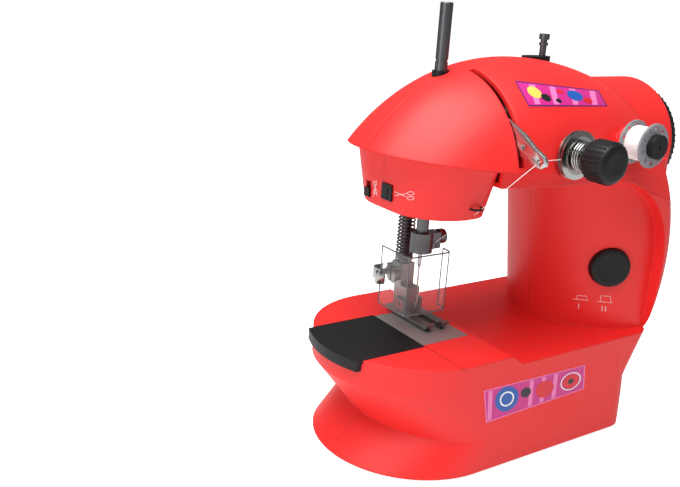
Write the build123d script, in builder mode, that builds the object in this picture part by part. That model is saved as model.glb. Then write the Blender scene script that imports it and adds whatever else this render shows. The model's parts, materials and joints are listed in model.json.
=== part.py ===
from build123d import *
from math import atan2, cos, degrees, pi, radians, sin, sqrt
import os

# A small C-shaped toy sewing machine: bed and arm below, column at the right, domed head above.
# +X runs towards the hand wheel, -Y towards the person sewing, +Z up.
# The origin lies on the table under the middle of the base; Y = 0 is the joint of the two housings.

os.makedirs("parts", exist_ok=True)

# ---- driving dimensions, mm ----
wall = 2.2                       # moulded wall of both housings
half_depth = 47.5                # joint plane to the front face
foot_half = 49.5                 # ... at the table
waist_half = 49.0                # ... at the waist
floor_z = 1.2                    # lower edge of the housings; the rubber feet reach down to 0
fit_gap = 0.3                    # air between curved faces of different pieces
running_gap = 0.05               # radial air of a shaft in its bush

foot_centre_x = -26.5            # centre of the rounded left end at the table
waist_centre_x = -17.0           # ... at the waist under the arm
arm_centre_x = -31.5             # ... at the arm's top
foot_reach, waist_reach = 49.5, 41.0   # how far the left end runs out from those centres
base_right_x = 80.0
base_corner_r = 12.0
waist_z = 17.0
arm_side_z = 43.0                # above this the arm's side is upright
bed_top_z = 51.0                 # bed right of the step
arm_top_z = 56.0
arm_step_x = -9.0                # upper edge of the step across the bed
step_run = 7.0

window_right_x = 90.0            # inner edge of the column's front band
window_arc_r = 46.0
head_under_z = 133.5             # underside of the head right of the face block
column_back = ((26, 80.0), (43, 88.0), (60, 95.5), (78, 99.5), (95, 99.8), (112, 97.0),
               (128, 91.0), (140, 85.0))   # height and X of the column's back
head_back = ((110, 97.5), (128, 91.0), (140, 85.5), (152, 81.0), (165, 77.5), (190, 74.0))
column_edge_r = 11.0

nose_r = 41.5                    # round front of the column, inside the band
nose_foot_x = 90.6               # its axis at nose_low_z
nose_lean = 0.152                # the axis leans left by this much per mm of height
nose_low_z, nose_high_z = 50.0, 140.0

dome_apex_x, dome_apex_z = 13.1, 185.5
dome_left_r, dome_right_r = 102.6, 154.0
dome_height = 50.5
dome_right_x = 80.0
crease_z, crease_slope = 139.6, 0.1   # lower rim of the dome: z = crease_z - slope * x
crease_step = 1.6                # how far the rim stands out over the wall below

block_bottom_z = 118.5           # face block that carries the needle bar
block_bottom = (-54.0, -14.5, 30.6, 23.0, 13.0)   # left, right, half depth, corner radii
block_top = (-55.5, -17.5, 40.5, 27.5, 9.0)
block_top_z = 147.0

barrel_r = 32.5                  # round housing behind the hand wheel
barrel_end_x = 101.0
shaft_z = 143.0
shaft_r = 2.5

needle_x, needle_y = -22.0, 9.5
needle_tip_z = 60.0
needle_down, needle_up = 6.0, 15.0    # travel of the needle bar from rest
crank_r = (needle_down + needle_up) / 2
yoke_z = shaft_z - (needle_up - needle_down) / 2
presser_y = 22.0
presser_lift = 6.0

plate_left_x, plate_right_x = -39.0, -11.5
plate_half = 19.5
plate_t = 1.2
lip_z = 51.0                     # lower edge of the slide cover's lip

lever_x = -16.0                  # take-up lever and its slot
lever_slot = 3.2
lever_pivot_y, lever_pivot_z = -20.0, 163.0
lever_eye_y, lever_eye_z = -55.0, 149.0
lever_t = 1.4

tension_x, tension_z = 12.3, 148.6
spool_x, spool_z = 50.6, 152.3
spool_pin_x, spool_pin_y, spool_pin_r = -25.3, 3.0, 2.9
short_pin_x, short_pin_y = 36.5, 2.0
short_base_x = 32.5              # middle of the short pin's oval base
foot_pivot_y, foot_pivot_z = 15.5, 62.4

bobbin_r, bobbin_width, bobbin_bore_r = 10.15, 11.7, 3.1
spindle_r = 3.04
button_angle = 30.7              # degrees from the front towards the left
button_z = 85.5
button_r = 10.0
button_travel = 2.5

hook_x = -42.5                   # upright axis of the rotary hook
hook_r = 21.8
lower_shaft_z = 27.0
belt_x = 73.0                    # plane of the timing belt
motor_belt_x = 80.0
motor_z = 84.0
motor_r = 11.5
big_pulley_r, lower_pulley_r, motor_pulley_r = 16.0, 8.0, 4.0
guide_x, guide_y, guide_z = -28.0, -32.0, 124.0   # thread guide on the face block
screw_points = ((-71.5, 46.0), (10.0, 40.0), (71.0, 11.0), (85.0, 58.0), (60.0, 164.0), (-44.0, 154.0))


# ---- shared shapes ----
def bed_outline(centre_x, reach, half, z, inset=0.0):
    """Face of the base at one height: round left end, straight sides, rounded right corners."""
    half, reach = half - inset, reach - inset
    right = base_right_x - inset
    corner = base_corner_r - inset
    with BuildSketch(Plane.XY.offset(z)) as outline:
        with Locations((centre_x, 0)):
            Ellipse(reach, half)
            Rectangle(reach + 1, 2 * half + 2, align=(Align.MIN, Align.CENTER), mode=Mode.SUBTRACT)
        with BuildLine():
            Line((centre_x, -half), (right - corner, -half))
            RadiusArc((right - corner, -half), (right, -half + corner), -corner)
            Line((right, -half + corner), (right, half - corner))
            RadiusArc((right, half - corner), (right - corner, half), -corner)
            Line((right - corner, half), (centre_x, half))
            Line((centre_x, half), (centre_x, -half))
        make_face()
    return outline.sketch


def foot_outline(z, inset=0.0):
    return bed_outline(foot_centre_x, foot_reach, foot_half, z, inset)


def arm_outline(z, inset=0.0):
    return bed_outline(arm_centre_x, half_depth, half_depth, z, inset)


def round_block(limits, inset, z):
    """Rectangle about Y = 0 with large rounded left corners and smaller right ones."""
    left, right, half, corner, small = limits
    left, right, half = left + inset, right - inset, half - inset
    corner, small = corner - inset, small - inset
    with BuildSketch(Plane.XY.offset(z)) as outline:
        with BuildLine():
            Line((left + corner, -half), (right - small, -half))
            RadiusArc((right - small, -half), (right, -half + small), -small)
            Line((right, -half + small), (right, half - small))
            RadiusArc((right, half - small), (right - small, half), -small)
            Line((right - small, half), (left + corner, half))
            RadiusArc((left + corner, half), (left, half - corner), -corner)
            Line((left, half - corner), (left, corner - half))
            RadiusArc((left, corner - half), (left + corner, -half), -corner)
        make_face()
    return outline.sketch


def block(x0, x1, y0, y1, z0, z1, mode=Mode.ADD):
    """Box between the given limits."""
    with Locations(((x0 + x1) / 2, (y0 + y1) / 2, (z0 + z1) / 2)):
        Box(x1 - x0, y1 - y0, z1 - z0, mode=mode)


def rod(axis, start, end, a, b, r, mode=Mode.ADD):
    """Cylinder along X, Y or Z from start to end; a and b are its two other coordinates."""
    if axis == "X":
        place = Plane(origin=(start, a, b), x_dir=(0, 1, 0), z_dir=(1, 0, 0))
    elif axis == "Y":
        place = Plane(origin=(a, start, b), x_dir=(1, 0, 0), z_dir=(0, 1, 0))
    else:
        place = Plane(origin=(a, b, start), x_dir=(1, 0, 0), z_dir=(0, 0, 1))
    with Locations(place):
        Cylinder(r, end - start, align=(Align.CENTER, Align.CENTER, Align.MIN), mode=mode)


def crease_plane(rise):
    return Plane(origin=(0, 0, crease_z + rise), x_dir=(1, 0, -crease_slope),
                 z_dir=(crease_slope, 0, 1))


def base_form(inset, low_z):
    with BuildPart() as form:
        loft([foot_outline(low_z, inset),
              bed_outline(waist_centre_x, waist_reach, waist_half, waist_z, inset)])
        loft([bed_outline(waist_centre_x, waist_reach, waist_half, waist_z, inset),
              arm_outline(arm_side_z, inset)])
        extrude(arm_outline(arm_side_z, inset), amount=bed_top_z - inset - arm_side_z)
    return form.part


def arm_pad(inset):
    """The raised top of the arm, with the sloped step at its right end."""
    with BuildPart() as form:
        extrude(arm_outline(arm_side_z, inset), amount=arm_top_z - inset - arm_side_z)
        with BuildSketch(Plane.XZ):
            with BuildLine():
                Polyline((arm_step_x - inset, arm_top_z + 1), (arm_step_x - inset, arm_top_z),
                         (arm_step_x + step_run - inset, bed_top_z),
                         (arm_step_x + step_run - inset, arm_side_z - 1),
                         (base_right_x + 1, arm_side_z - 1), (base_right_x + 1, arm_top_z + 1),
                         close=True)
            make_face()
        extrude(amount=half_depth + 1, both=True, mode=Mode.SUBTRACT)
    return form.part


def column_section(inset, z, right, left=56.0):
    """Plan of the column at one height, with rounded outer corners."""
    half, corner = half_depth - inset, column_edge_r - inset
    with BuildSketch(Plane.XY.offset(z)) as outline:
        with BuildLine():
            Line((left, -half), (right - inset - corner, -half))
            RadiusArc((right - inset - corner, -half), (right - inset, corner - half), -corner)
            Line((right - inset, corner - half), (right - inset, half - corner))
            RadiusArc((right - inset, half - corner), (right - inset - corner, half), -corner)
            Line((right - inset - corner, half), (left, half))
            Line((left, half), (left, -half))
        make_face()
    return outline.sketch


def window_face(inset):
    """Side view of the opening between head, column and bed."""
    reach = window_arc_r + inset
    arc_x, arc_z = window_right_x - window_arc_r, head_under_z - window_arc_r
    with BuildSketch(Plane.XZ) as face:
        with BuildLine():
            Line((-100, bed_top_z - inset), (window_right_x + inset, bed_top_z - inset))
            Line((window_right_x + inset, bed_top_z - inset), (window_right_x + inset, arc_z))
            RadiusArc((window_right_x + inset, arc_z), (arc_x, arc_z + reach), -reach)
            Polyline((arc_x, arc_z + reach), (-100, arc_z + reach), (-100, bed_top_z - inset))
        make_face()
    return face.sketch


def spine_form(inset):
    """The C-shaped band: base end, back of the column and root of the head."""
    with BuildPart() as form:
        for z, right in column_back:
            add(column_section(inset, z, right))
        loft()
        extrude(window_face(inset), amount=half_depth + 1, both=True, mode=Mode.SUBTRACT)
        with BuildSketch(Plane.XZ):
            with BuildLine():
                Polyline((0, 148), (30, 139 - inset), (110, 114 - inset), (110, 148), close=True)
            make_face()
        extrude(amount=half_depth + 1, both=True, mode=Mode.SUBTRACT)
    return form.part


def nose_form(inset):
    high_x = nose_foot_x - nose_lean * (nose_high_z - nose_low_z)
    low_z = nose_low_z - inset
    with BuildPart() as form:
        with BuildSketch(Plane.XY.offset(low_z)):
            with Locations((nose_foot_x + nose_lean * inset, 0)):
                Circle(nose_r - inset)
        with BuildSketch(Plane.XY.offset(nose_high_z)):
            with Locations((high_x, 0)):
                Circle(nose_r - inset)
        loft()
        split(bisect_by=Plane.YZ.offset(window_right_x + 1 - 1.4 * inset), keep=Keep.BOTTOM)
    return form.part


def dome_form(inset):
    half, height = half_depth - inset, dome_height - inset
    base_z = dome_apex_z - dome_height
    with BuildPart() as end:
        for z, right in head_back:
            add(column_section(inset, z, right, -100))
        loft()
    with BuildPart() as form:
        for reach, arc, side in ((dome_left_r, 60, -1), (dome_right_r, 45, 1)):
            with BuildSketch(Plane.YZ.offset(dome_apex_x)):
                with Locations((0, base_z)):
                    Ellipse(half, height)
                    Rectangle(2 * half + 2, height + 1, align=(Align.CENTER, Align.MAX), mode=Mode.SUBTRACT)
            axis = Axis((dome_apex_x, 0, dome_apex_z - reach), (0, side, 0))
            revolve(axis=axis, revolution_arc=arc)
        with BuildSketch(Plane.XZ):
            with BuildLine():
                Polyline((-110, 60), (-110, crease_z + inset + 110 * crease_slope),
                         (50, crease_z + inset - 50 * crease_slope), (50, 118), (120, 118), (120, 60),
                         close=True)
            make_face()
        extrude(amount=half_depth + 1, both=True, mode=Mode.SUBTRACT)
        extrude(window_face(inset), amount=half_depth + 1, both=True, mode=Mode.SUBTRACT)
        add(end.part, mode=Mode.INTERSECT)
    return form.part


def face_block(inset, low_z):
    with BuildPart() as form:
        add(round_block(block_bottom, inset, low_z))
        add(round_block(block_top, inset, block_top_z))
        loft(ruled=True)
        split(bisect_by=crease_plane(inset + 0.4), keep=Keep.BOTTOM)
    return form.part


def under_head(inset, low_z):
    """Wall between the dome's rim and the underside, right of the lever slot."""
    step = crease_step + inset
    with BuildPart() as form:
        with BuildSketch(Plane.XY.offset(low_z)):
            with BuildLine():
                Polyline((lever_x - 4, -40 + step), (12, -46.4 + step), (60, -half_depth + step),
                         (60, half_depth - step), (12, 46.4 - step), (lever_x - 4, 40 - step), close=True)
            make_face()
        extrude(amount=block_top_z - low_z)
        split(bisect_by=crease_plane(inset + 0.4), keep=Keep.BOTTOM)
    return form.part


def barrel_form(inset, end_x):
    with BuildPart() as form:
        with BuildSketch(Plane.YZ.offset(62)):
            with Locations((0, shaft_z)):
                Circle(barrel_r - inset)
        extrude(amount=end_x - 62)
    return form.part


def outer_form(inset=0.0, low_z=floor_z):
    """The whole body, or its cavity when inset by the wall."""
    with BuildPart() as form:
        add(spine_form(inset))
        add(nose_form(inset))
        add(base_form(inset, low_z))
        add(arm_pad(inset))
        add(dome_form(inset))
        add(under_head(inset, head_under_z + inset))
        add(face_block(inset, block_bottom_z + inset))
        add(barrel_form(inset, barrel_end_x - inset))
        block(-20, -7.5 - inset, inset - 18, 18 - inset, 124 + inset, 135 + 5 * inset)
    return form.part


def unit(v):
    length = sqrt(sum(c * c for c in v))
    return tuple(c / length for c in v)


def coil_path(radius, height_at, turns, quarter=4):
    """Points and tangents of a coil about Z; height_at gives Z for a turn count."""
    path = []
    for k in range(int(turns * quarter) + 1):
        turn = k / quarter
        rise = (height_at(turn + 0.01) - height_at(turn - 0.01)) / 0.02
        a = 2 * pi * turn
        tangent = unit((-2 * pi * radius * sin(a), 2 * pi * radius * cos(a), rise))
        path.append(((radius * cos(a), radius * sin(a), height_at(turn)), tangent))
    return path


def biarc_edges(path):
    """Two tangent arcs between each pair of neighbouring points."""
    for (p0, t0), (p1, t1) in zip(path, path[1:]):
        v = tuple(b - a for a, b in zip(p0, p1))
        vt = sum(a * (b + c) for a, b, c in zip(v, t0, t1))
        vv = sum(a * a for a in v)
        k = 2 * (sum(a * b for a, b in zip(t0, t1)) - 1)
        d = vv / (2 * vt) if abs(k) < 1e-9 else (vt - sqrt(vt * vt - k * vv)) / k
        q0 = tuple(a + d * b for a, b in zip(p0, t0))
        q1 = tuple(a - d * b for a, b in zip(p1, t1))
        pm = tuple((a + b) / 2 for a, b in zip(q0, q1))
        tm = unit(tuple(b - a for a, b in zip(q0, pm)))
        TangentArc(p0, pm, tangent=t0)
        TangentArc(pm, p1, tangent=tm)


def belt_face(plane_x, high, low, high_r, low_r):
    """Outline round two pulleys in the plane of a belt, pulley centres at Z high and low."""
    lean = (high_r - low_r) / (high - low)
    c, n = sqrt(1 - lean * lean), lean
    with BuildSketch(Plane.YZ.offset(plane_x)) as face:
        with BuildLine():
            Line((high_r * c, high - high_r * n), (low_r * c, low - low_r * n))
            ThreePointArc((low_r * c, low - low_r * n), (0, low - low_r), (-low_r * c, low - low_r * n))
            Line((-low_r * c, low - low_r * n), (-high_r * c, high - high_r * n))
            ThreePointArc((-high_r * c, high - high_r * n), (0, high + high_r), (high_r * c, high - high_r * n))
        make_face()
    return face.sketch


# ---- housings ----
cavity = outer_form(wall, floor_z)
button_dir = (-sin(radians(button_angle)), -cos(radians(button_angle)), 0)
nose_axis_x = nose_foot_x - nose_lean * (button_z - nose_low_z)
button_plane = Plane(origin=(nose_axis_x, 0, button_z), x_dir=(button_dir[1], -button_dir[0], 0),
                     z_dir=button_dir)
well_r, well_floor_y = 3.2, 12.0

with BuildPart() as inner_parts:
    # bosses of the case screws, ledge of the base cover and slots for the frames
    for x, z in screw_points:
        rod("Y", -48, 0, x, z, 3.8)
        rod("Y", 0, 48, x, z, well_r + 1.8)
    with BuildPart() as ledge:
        extrude(foot_outline(3.4, 1.0), amount=2.0)
        extrude(foot_outline(3.3, 5.5), amount=2.2, mode=Mode.SUBTRACT)
    add(ledge.part)
    block(-13.5, -1, -46, -30, 135, 160)
    block(-13.5, -1, 30, 46, 135, 160)
    block(-53, -32, -46, -38, 31, 43)
    block(-53, -32, 38, 46, 31, 43)
    block(86, 100, -9, 9, 134, 152)
    block(55, 61, -42, 42, 72, 96)
    rod("Y", -46, -36, tension_x, tension_z, 4.5)
    rod("Y", -46, -32, spool_x, spool_z, 5.0)
    rod("Z", 175, 182, spool_pin_x, spool_pin_y, 6.0)
    rod("Z", 168, 186, short_pin_x, short_pin_y, 5.4)
    block(short_base_x - 10, short_base_x + 10, -4, 8, 177, 186)
    block(56, 66, 36, 47, 28, 44)
    block(40, 50, 36, 47, 28, 44)

with BuildPart() as housing:
    add(outer_form())
    add(cavity, mode=Mode.SUBTRACT)
    with BuildPart() as kept:
        add(inner_parts.part)
        add(outer_form(0.6, floor_z), mode=Mode.INTERSECT)
    add(kept.part)
    rod("Y", -47, -42, spool_x, spool_z, 6.0)
    # openings
    block(plate_left_x - 0.1, plate_right_x + 0.1, -plate_half - 0.1, plate_half + 0.1,
          arm_top_z - plate_t, arm_top_z + 1, mode=Mode.SUBTRACT)
    block(-66, plate_right_x - 1.5, -17.5, 17.5, 45, 57, mode=Mode.SUBTRACT)
    block(-90, plate_left_x, -21, 21, arm_top_z - 1.8, arm_top_z + 1, mode=Mode.SUBTRACT)
    rod("Z", 117, 124, needle_x, needle_y, 6.0, mode=Mode.SUBTRACT)
    rod("Z", 117, 124, needle_x, presser_y, 5.5, mode=Mode.SUBTRACT)
    rod("Z", 117, 124, -48.5, -1.5, 4.2, mode=Mode.SUBTRACT)
    block(lever_x - lever_slot / 2, lever_x + lever_slot / 2, -60, -7, 143.5, 190, mode=Mode.SUBTRACT)
    block(-32.3, -23.5, 28, 60, 123, 154, mode=Mode.SUBTRACT)
    rod("Y", -60, -30, tension_x, tension_z, 2.0, mode=Mode.SUBTRACT)
    rod("Y", -60, -46.2, tension_x, tension_z, 11.3, mode=Mode.SUBTRACT)
    rod("Y", -60, -30, spool_x, spool_z, spindle_r, mode=Mode.SUBTRACT)
    rod("Z", 160, 190, spool_pin_x, spool_pin_y, 3.9, mode=Mode.SUBTRACT)
    rod("Z", 160, 190, short_pin_x, short_pin_y, 3.4, mode=Mode.SUBTRACT)
    rod("X", 84, 103, 0, shaft_z, 4.5, mode=Mode.SUBTRACT)
    block(88, 106, -36.7, -23.3, 99.3, 115.7, mode=Mode.SUBTRACT)
    block(-62, -50, 9.8, 14.2, 121, 128.5, mode=Mode.SUBTRACT)
    rod("Y", 34, 50, 61, 36, 4.0, mode=Mode.SUBTRACT)
    rod("Y", 34, 50, 45, 36, 3.2, mode=Mode.SUBTRACT)
    with Locations(button_plane):
        Cylinder(button_r + fit_gap, 60, align=(Align.CENTER, Align.CENTER, Align.MIN), mode=Mode.SUBTRACT)
        Cylinder(12.0, 36.6, align=(Align.CENTER, Align.CENTER, Align.MIN), mode=Mode.SUBTRACT)
    rod("X", 48, 67.6, 0, motor_z, motor_r, mode=Mode.SUBTRACT)
    with BuildSketch(Plane.XY.offset(180)):
        with Locations((short_base_x, short_pin_y)):
            Ellipse(8.5, 4.6)
    extrude(amount=9, mode=Mode.SUBTRACT)
    block(-56, -52.0, -7, 0.5, 123.2, 130.4, mode=Mode.SUBTRACT)
    with Locations((guide_x, guide_y, guide_z)):
        Torus(3.2, 0.5, mode=Mode.SUBTRACT)
    # slots that hold the frames
    block(-8.5, -6, -34, 34, 134, 161, mode=Mode.SUBTRACT)
    block(-50, -35, -42, 42, 36, 38.5, mode=Mode.SUBTRACT)
    block(-66, -20, -24, 24, 38.6, 53, mode=Mode.SUBTRACT)
    for x, z in screw_points:
        rod("Y", well_floor_y, 60, x, z, well_r, mode=Mode.SUBTRACT)
        rod("Y", -12, well_floor_y, x, z, 1.5, mode=Mode.SUBTRACT)

with BuildPart() as front_housing:
    add(housing.part)
    split(bisect_by=Plane.XZ, keep=Keep.TOP)
front_housing.part.label = "front_housing"

with BuildPart() as rear_housing:
    add(housing.part)
    split(bisect_by=Plane.XZ, keep=Keep.BOTTOM)
rear_housing.part.label = "rear_housing"
export_step(front_housing.part, "parts/front_housing.step")

export_step(rear_housing.part, "parts/rear_housing.step")

# ---- base, batteries and feet ----
with BuildPart() as base_cover:
    loft([foot_outline(floor_z, wall + 0.3),
          bed_outline(waist_centre_x, waist_reach, waist_half, waist_z, wall + 0.3)])
    block(-90, 90, -60, 60, 3.4, 20, mode=Mode.SUBTRACT)
    block(1.5, 58.5, -32.5, 32.5, 3.4, 20.5)
    block(3, 57, -31, 31, 0, 19, mode=Mode.SUBTRACT)
    for x0, x1 in ((-24, -20), (60.5, 64.5)):
        block(x0, x1, -6, 6, 3.4, 33)
        rod("X", x0 - 1, x1 + 1, 0, lower_shaft_z, shaft_r + running_gap, mode=Mode.SUBTRACT)
base_cover.part.label = "base_cover"
export_step(base_cover.part, "parts/base_cover.step")

with BuildPart() as battery_cover:
    block(3, 57, -30.7, 30.7, floor_z, 3.4)
    block(50, 54, -8, 8, 0, 2, mode=Mode.SUBTRACT)
battery_cover.part.label = "battery_cover"
export_step(battery_cover.part, "parts/battery_cover.step")

with BuildPart() as battery_cells:
    for k, y in enumerate((-22.5, -7.5, 7.5, 22.5)):
        left = 4.6 if k % 2 else 5.6
        rod("X", left, left + 49.5, y, 10.55, 7.15)
        if k % 2:
            rod("X", left + 49.5, left + 50.5, y, 10.55, 2.7)
        else:
            rod("X", left - 1.0, left, y, 10.55, 2.7)
battery_cells.part.label = "battery_cells"
export_step(battery_cells.part, "parts/battery_cells.step")

with BuildPart() as rubber_feet:
    for x, y in ((-52, -24), (-52, 24), (66, -36), (66, 36), (-3.5, 0)):
        rod("Z", 0, floor_z, x, y, 5.0)
rubber_feet.part.label = "rubber_feet"
export_step(rubber_feet.part, "parts/rubber_feet.step")

with BuildPart() as housing_screws:
    for x, z in screw_points:
        rod("Y", -11, well_floor_y, x, z, 1.5)
        rod("Y", well_floor_y, well_floor_y + 2.0, x, z, 2.9)
        block(x - 2.0, x + 2.0, well_floor_y + 1.0, well_floor_y + 3, z - 0.4, z + 0.4, mode=Mode.SUBTRACT)
        block(x - 0.4, x + 0.4, well_floor_y + 1.0, well_floor_y + 3, z - 2.0, z + 2.0, mode=Mode.SUBTRACT)
housing_screws.part.label = "housing_screws"
export_step(housing_screws.part, "parts/housing_screws.step")

# ---- work surface, feed and hook ----
with BuildPart() as needle_plate:
    block(plate_left_x, plate_right_x, -plate_half, plate_half, arm_top_z - plate_t, arm_top_z)
    for x in (-26, -18):
        block(x - 1.5, x + 1.5, -8, 16, 50, 60, mode=Mode.SUBTRACT)
    rod("Z", 50, 60, needle_x, needle_y, 1.3, mode=Mode.SUBTRACT)
needle_plate.part.label = "needle_plate"
export_step(needle_plate.part, "parts/needle_plate.step")

with BuildPart() as slide_cover:
    with BuildSketch(Plane.XY.offset(arm_top_z - 1.6)):
        with Locations((arm_centre_x, 0)):
            Circle(half_depth + 2.5)
    extrude(amount=1.6)
    with BuildSketch(Plane.XY.offset(lip_z)):
        with Locations((arm_centre_x, 0)):
            Circle(half_depth + 2.5)
            Circle(half_depth + fit_gap, mode=Mode.SUBTRACT)
    extrude(amount=arm_top_z - lip_z)
    block(-90, plate_left_x - 0.3, -20.7, 20.7, 40, 60, mode=Mode.INTERSECT)
slide_cover.part.label = "slide_cover"
export_step(slide_cover.part, "parts/slide_cover.step")

with BuildPart() as feed_dog:
    block(-28.5, -14.5, -7, 14, 52.4, 54.4)
    block(-24, -20, 5, 14.5, 50, 56, mode=Mode.SUBTRACT)
    for x in (-26, -18):
        block(x - 1.1, x + 1.1, -6.3, 14, 54.4, 56.7)
        with BuildSketch(Plane.YZ.offset(x)):
            for y in range(-6, 14, 2):
                with Locations((y + 0.8, 56.7)):
                    Triangle(a=1.7, b=1.3, c=1.3, align=(Align.CENTER, Align.CENTER), rotation=180)
        extrude(amount=2, both=True, mode=Mode.SUBTRACT)
    block(-17.5, -14.5, -4, 4, 33.6, 53)
feed_dog.part.label = "feed_dog"
export_step(feed_dog.part, "parts/feed_dog.step")

with BuildPart() as hook_frame:
    block(-50, -35, -42, 42, 36, 38.5)
    rod("Z", 35, 39, hook_x, 0, shaft_r + running_gap, mode=Mode.SUBTRACT)
hook_frame.part.label = "hook_frame"
export_step(hook_frame.part, "parts/hook_frame.step")

with BuildPart() as rotary_hook:
    rod("Z", 39, 50.2, hook_x, 0, hook_r)
    rod("Z", 40.2, 51, hook_x, 0, hook_r - 1.4, mode=Mode.SUBTRACT)
    rod("Z", 24, 39, hook_x, 0, shaft_r)
    with BuildSketch(Plane.XY.offset(46)):
        with BuildLine():
            CenterArc((hook_x, 0), 18, 20, 75)
            CenterArc((hook_x, 0), 24, 20, 75)
            for a in (20, 95):
                c, n = cos(radians(a)), sin(radians(a))
                Line((hook_x + 18 * c, 18 * n), (hook_x + 24 * c, 24 * n))
        make_face()
    extrude(amount=6, mode=Mode.SUBTRACT)
    with BuildSketch(Plane.XZ):
        with BuildLine():
            Polyline((hook_x, lower_shaft_z + 4), (hook_x + 3.6, lower_shaft_z + 4),
                     (hook_x + 8.2, lower_shaft_z + 8.6), (hook_x, lower_shaft_z + 8.6), close=True)
        make_face()
    revolve(axis=Axis((hook_x, 0, 0), (0, 0, 1)))
rotary_hook.part.label = "rotary_hook"
export_step(rotary_hook.part, "parts/rotary_hook.step")

with BuildPart() as bobbin_case:
    rod("Z", 40.7, 52, hook_x, 0, 16.0)
    rod("Z", 41.6, 53, hook_x, 0, bobbin_r + 0.4, mode=Mode.SUBTRACT)
    block(-38, -30, -3, 3, 50, arm_top_z - plate_t)
    rod("Z", 41.6, 60, hook_x, 0, bobbin_r + 0.4, mode=Mode.SUBTRACT)
bobbin_case.part.label = "bobbin_case"
export_step(bobbin_case.part, "parts/bobbin_case.step")


def bobbin_face():
    """Half section of the bobbin beside its axis, bottom flange on the X axis."""
    with BuildSketch() as face:
        with BuildLine():
            Polyline((bobbin_bore_r, 0), (bobbin_r, 0), (bobbin_r, 1.0), (4.6, 1.0),
                     (4.6, bobbin_width - 1.0), (bobbin_r, bobbin_width - 1.0),
                     (bobbin_r, bobbin_width), (bobbin_bore_r, bobbin_width), close=True)
        make_face()
    return face.sketch


with BuildPart() as lower_bobbin:
    place = Plane(origin=(hook_x, 0, 41.7), x_dir=(1, 0, 0), z_dir=(0, -1, 0))
    add(place * bobbin_face())
    revolve(axis=Axis((hook_x, 0, 0), (0, 0, 1)))
lower_bobbin.part.label = "lower_bobbin"
export_step(lower_bobbin.part, "parts/lower_bobbin.step")

with BuildPart() as lower_shaft:
    rod("X", -36, 76.8, 0, lower_shaft_z, shaft_r)
    with BuildSketch(Plane.XZ):
        with BuildLine():
            Polyline((hook_x + 4, lower_shaft_z), (hook_x + 4, lower_shaft_z + 3.6),
                     (hook_x + 8.6, lower_shaft_z + 8.2), (hook_x + 8.6, lower_shaft_z), close=True)
        make_face()
    revolve(axis=Axis((0, 0, lower_shaft_z), (1, 0, 0)))
    rod("X", belt_x - 2.5, belt_x + 2.5, 0, lower_shaft_z, lower_pulley_r)
lower_shaft.part.label = "lower_shaft"
export_step(lower_shaft.part, "parts/lower_shaft.step")

# ---- drive ----
with BuildPart() as timing_belt:
    extrude(belt_face(belt_x, shaft_z, lower_shaft_z, big_pulley_r + fit_gap + 1.3,
                      lower_pulley_r + fit_gap + 1.3), amount=2, both=True)
    extrude(belt_face(belt_x, shaft_z, lower_shaft_z, big_pulley_r + fit_gap,
                      lower_pulley_r + fit_gap), amount=3, both=True, mode=Mode.SUBTRACT)
timing_belt.part.label = "timing_belt"
export_step(timing_belt.part, "parts/timing_belt.step")

with BuildPart() as motor_belt:
    extrude(belt_face(motor_belt_x, shaft_z, motor_z, big_pulley_r + fit_gap + 1.3,
                      motor_pulley_r + fit_gap + 1.3), amount=2, both=True)
    extrude(belt_face(motor_belt_x, shaft_z, motor_z, big_pulley_r + fit_gap,
                      motor_pulley_r + fit_gap), amount=3, both=True, mode=Mode.SUBTRACT)
motor_belt.part.label = "motor_belt"
export_step(motor_belt.part, "parts/motor_belt.step")

with BuildPart() as upper_pulleys:
    rod("X", belt_x - 2.5, belt_x + 2.5, 0, shaft_z, big_pulley_r)
    rod("X", motor_belt_x - 2.5, motor_belt_x + 2.5, 0, shaft_z, big_pulley_r)
    rod("X", 68, 83.5, 0, shaft_z, 6.0)
    rod("X", 60, 90, 0, shaft_z, shaft_r, mode=Mode.SUBTRACT)
upper_pulleys.part.label = "upper_pulleys"
export_step(upper_pulleys.part, "parts/upper_pulleys.step")

with BuildPart() as motor_can:
    rod("X", 48.5, 67.5, 0, motor_z, motor_r)
    rod("X", 67.5, 69, 0, motor_z, 3.5)
    rod("X", 55, 70, 0, motor_z, 1.2 + running_gap, mode=Mode.SUBTRACT)
motor_can.part.label = "motor_can"
export_step(motor_can.part, "parts/motor_can.step")

with BuildPart() as motor_pulley:
    rod("X", 57, 84, 0, motor_z, 1.2)
    rod("X", motor_belt_x - 2.5, motor_belt_x + 2.5, 0, motor_z, motor_pulley_r)
motor_pulley.part.label = "motor_pulley"
export_step(motor_pulley.part, "parts/motor_pulley.step")

with BuildPart() as main_shaft:
    rod("X", -13, 109, 0, shaft_z, shaft_r)
    rod("X", -14, -10, 0, shaft_z, 14.0)
    pin_y = -sqrt(crank_r ** 2 - (shaft_z - yoke_z) ** 2)
    rod("X", -16, -14, pin_y, yoke_z, 2.0)
main_shaft.part.label = "main_shaft"
export_step(main_shaft.part, "parts/main_shaft.step")

with BuildPart() as hand_wheel:
    with BuildSketch(Plane.XZ):
        with BuildLine():
            Polyline((103, shaft_z + shaft_r), (103, shaft_z + 27.5), (104.2, shaft_z + 29.0),
                     (108.8, shaft_z + 29.0), (110, shaft_z + 27.5), (110, shaft_z + 22.5),
                     (107, shaft_z + 20.5), (107, shaft_z + 9), (110.5, shaft_z + 7.5),
                     (110.5, shaft_z), (109, shaft_z), (109, shaft_z + shaft_r), close=True)
        make_face()
    revolve(axis=Axis((0, 0, shaft_z), (1, 0, 0)))
hand_wheel.part.label = "hand_wheel"
export_step(hand_wheel.part, "parts/hand_wheel.step")

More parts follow.
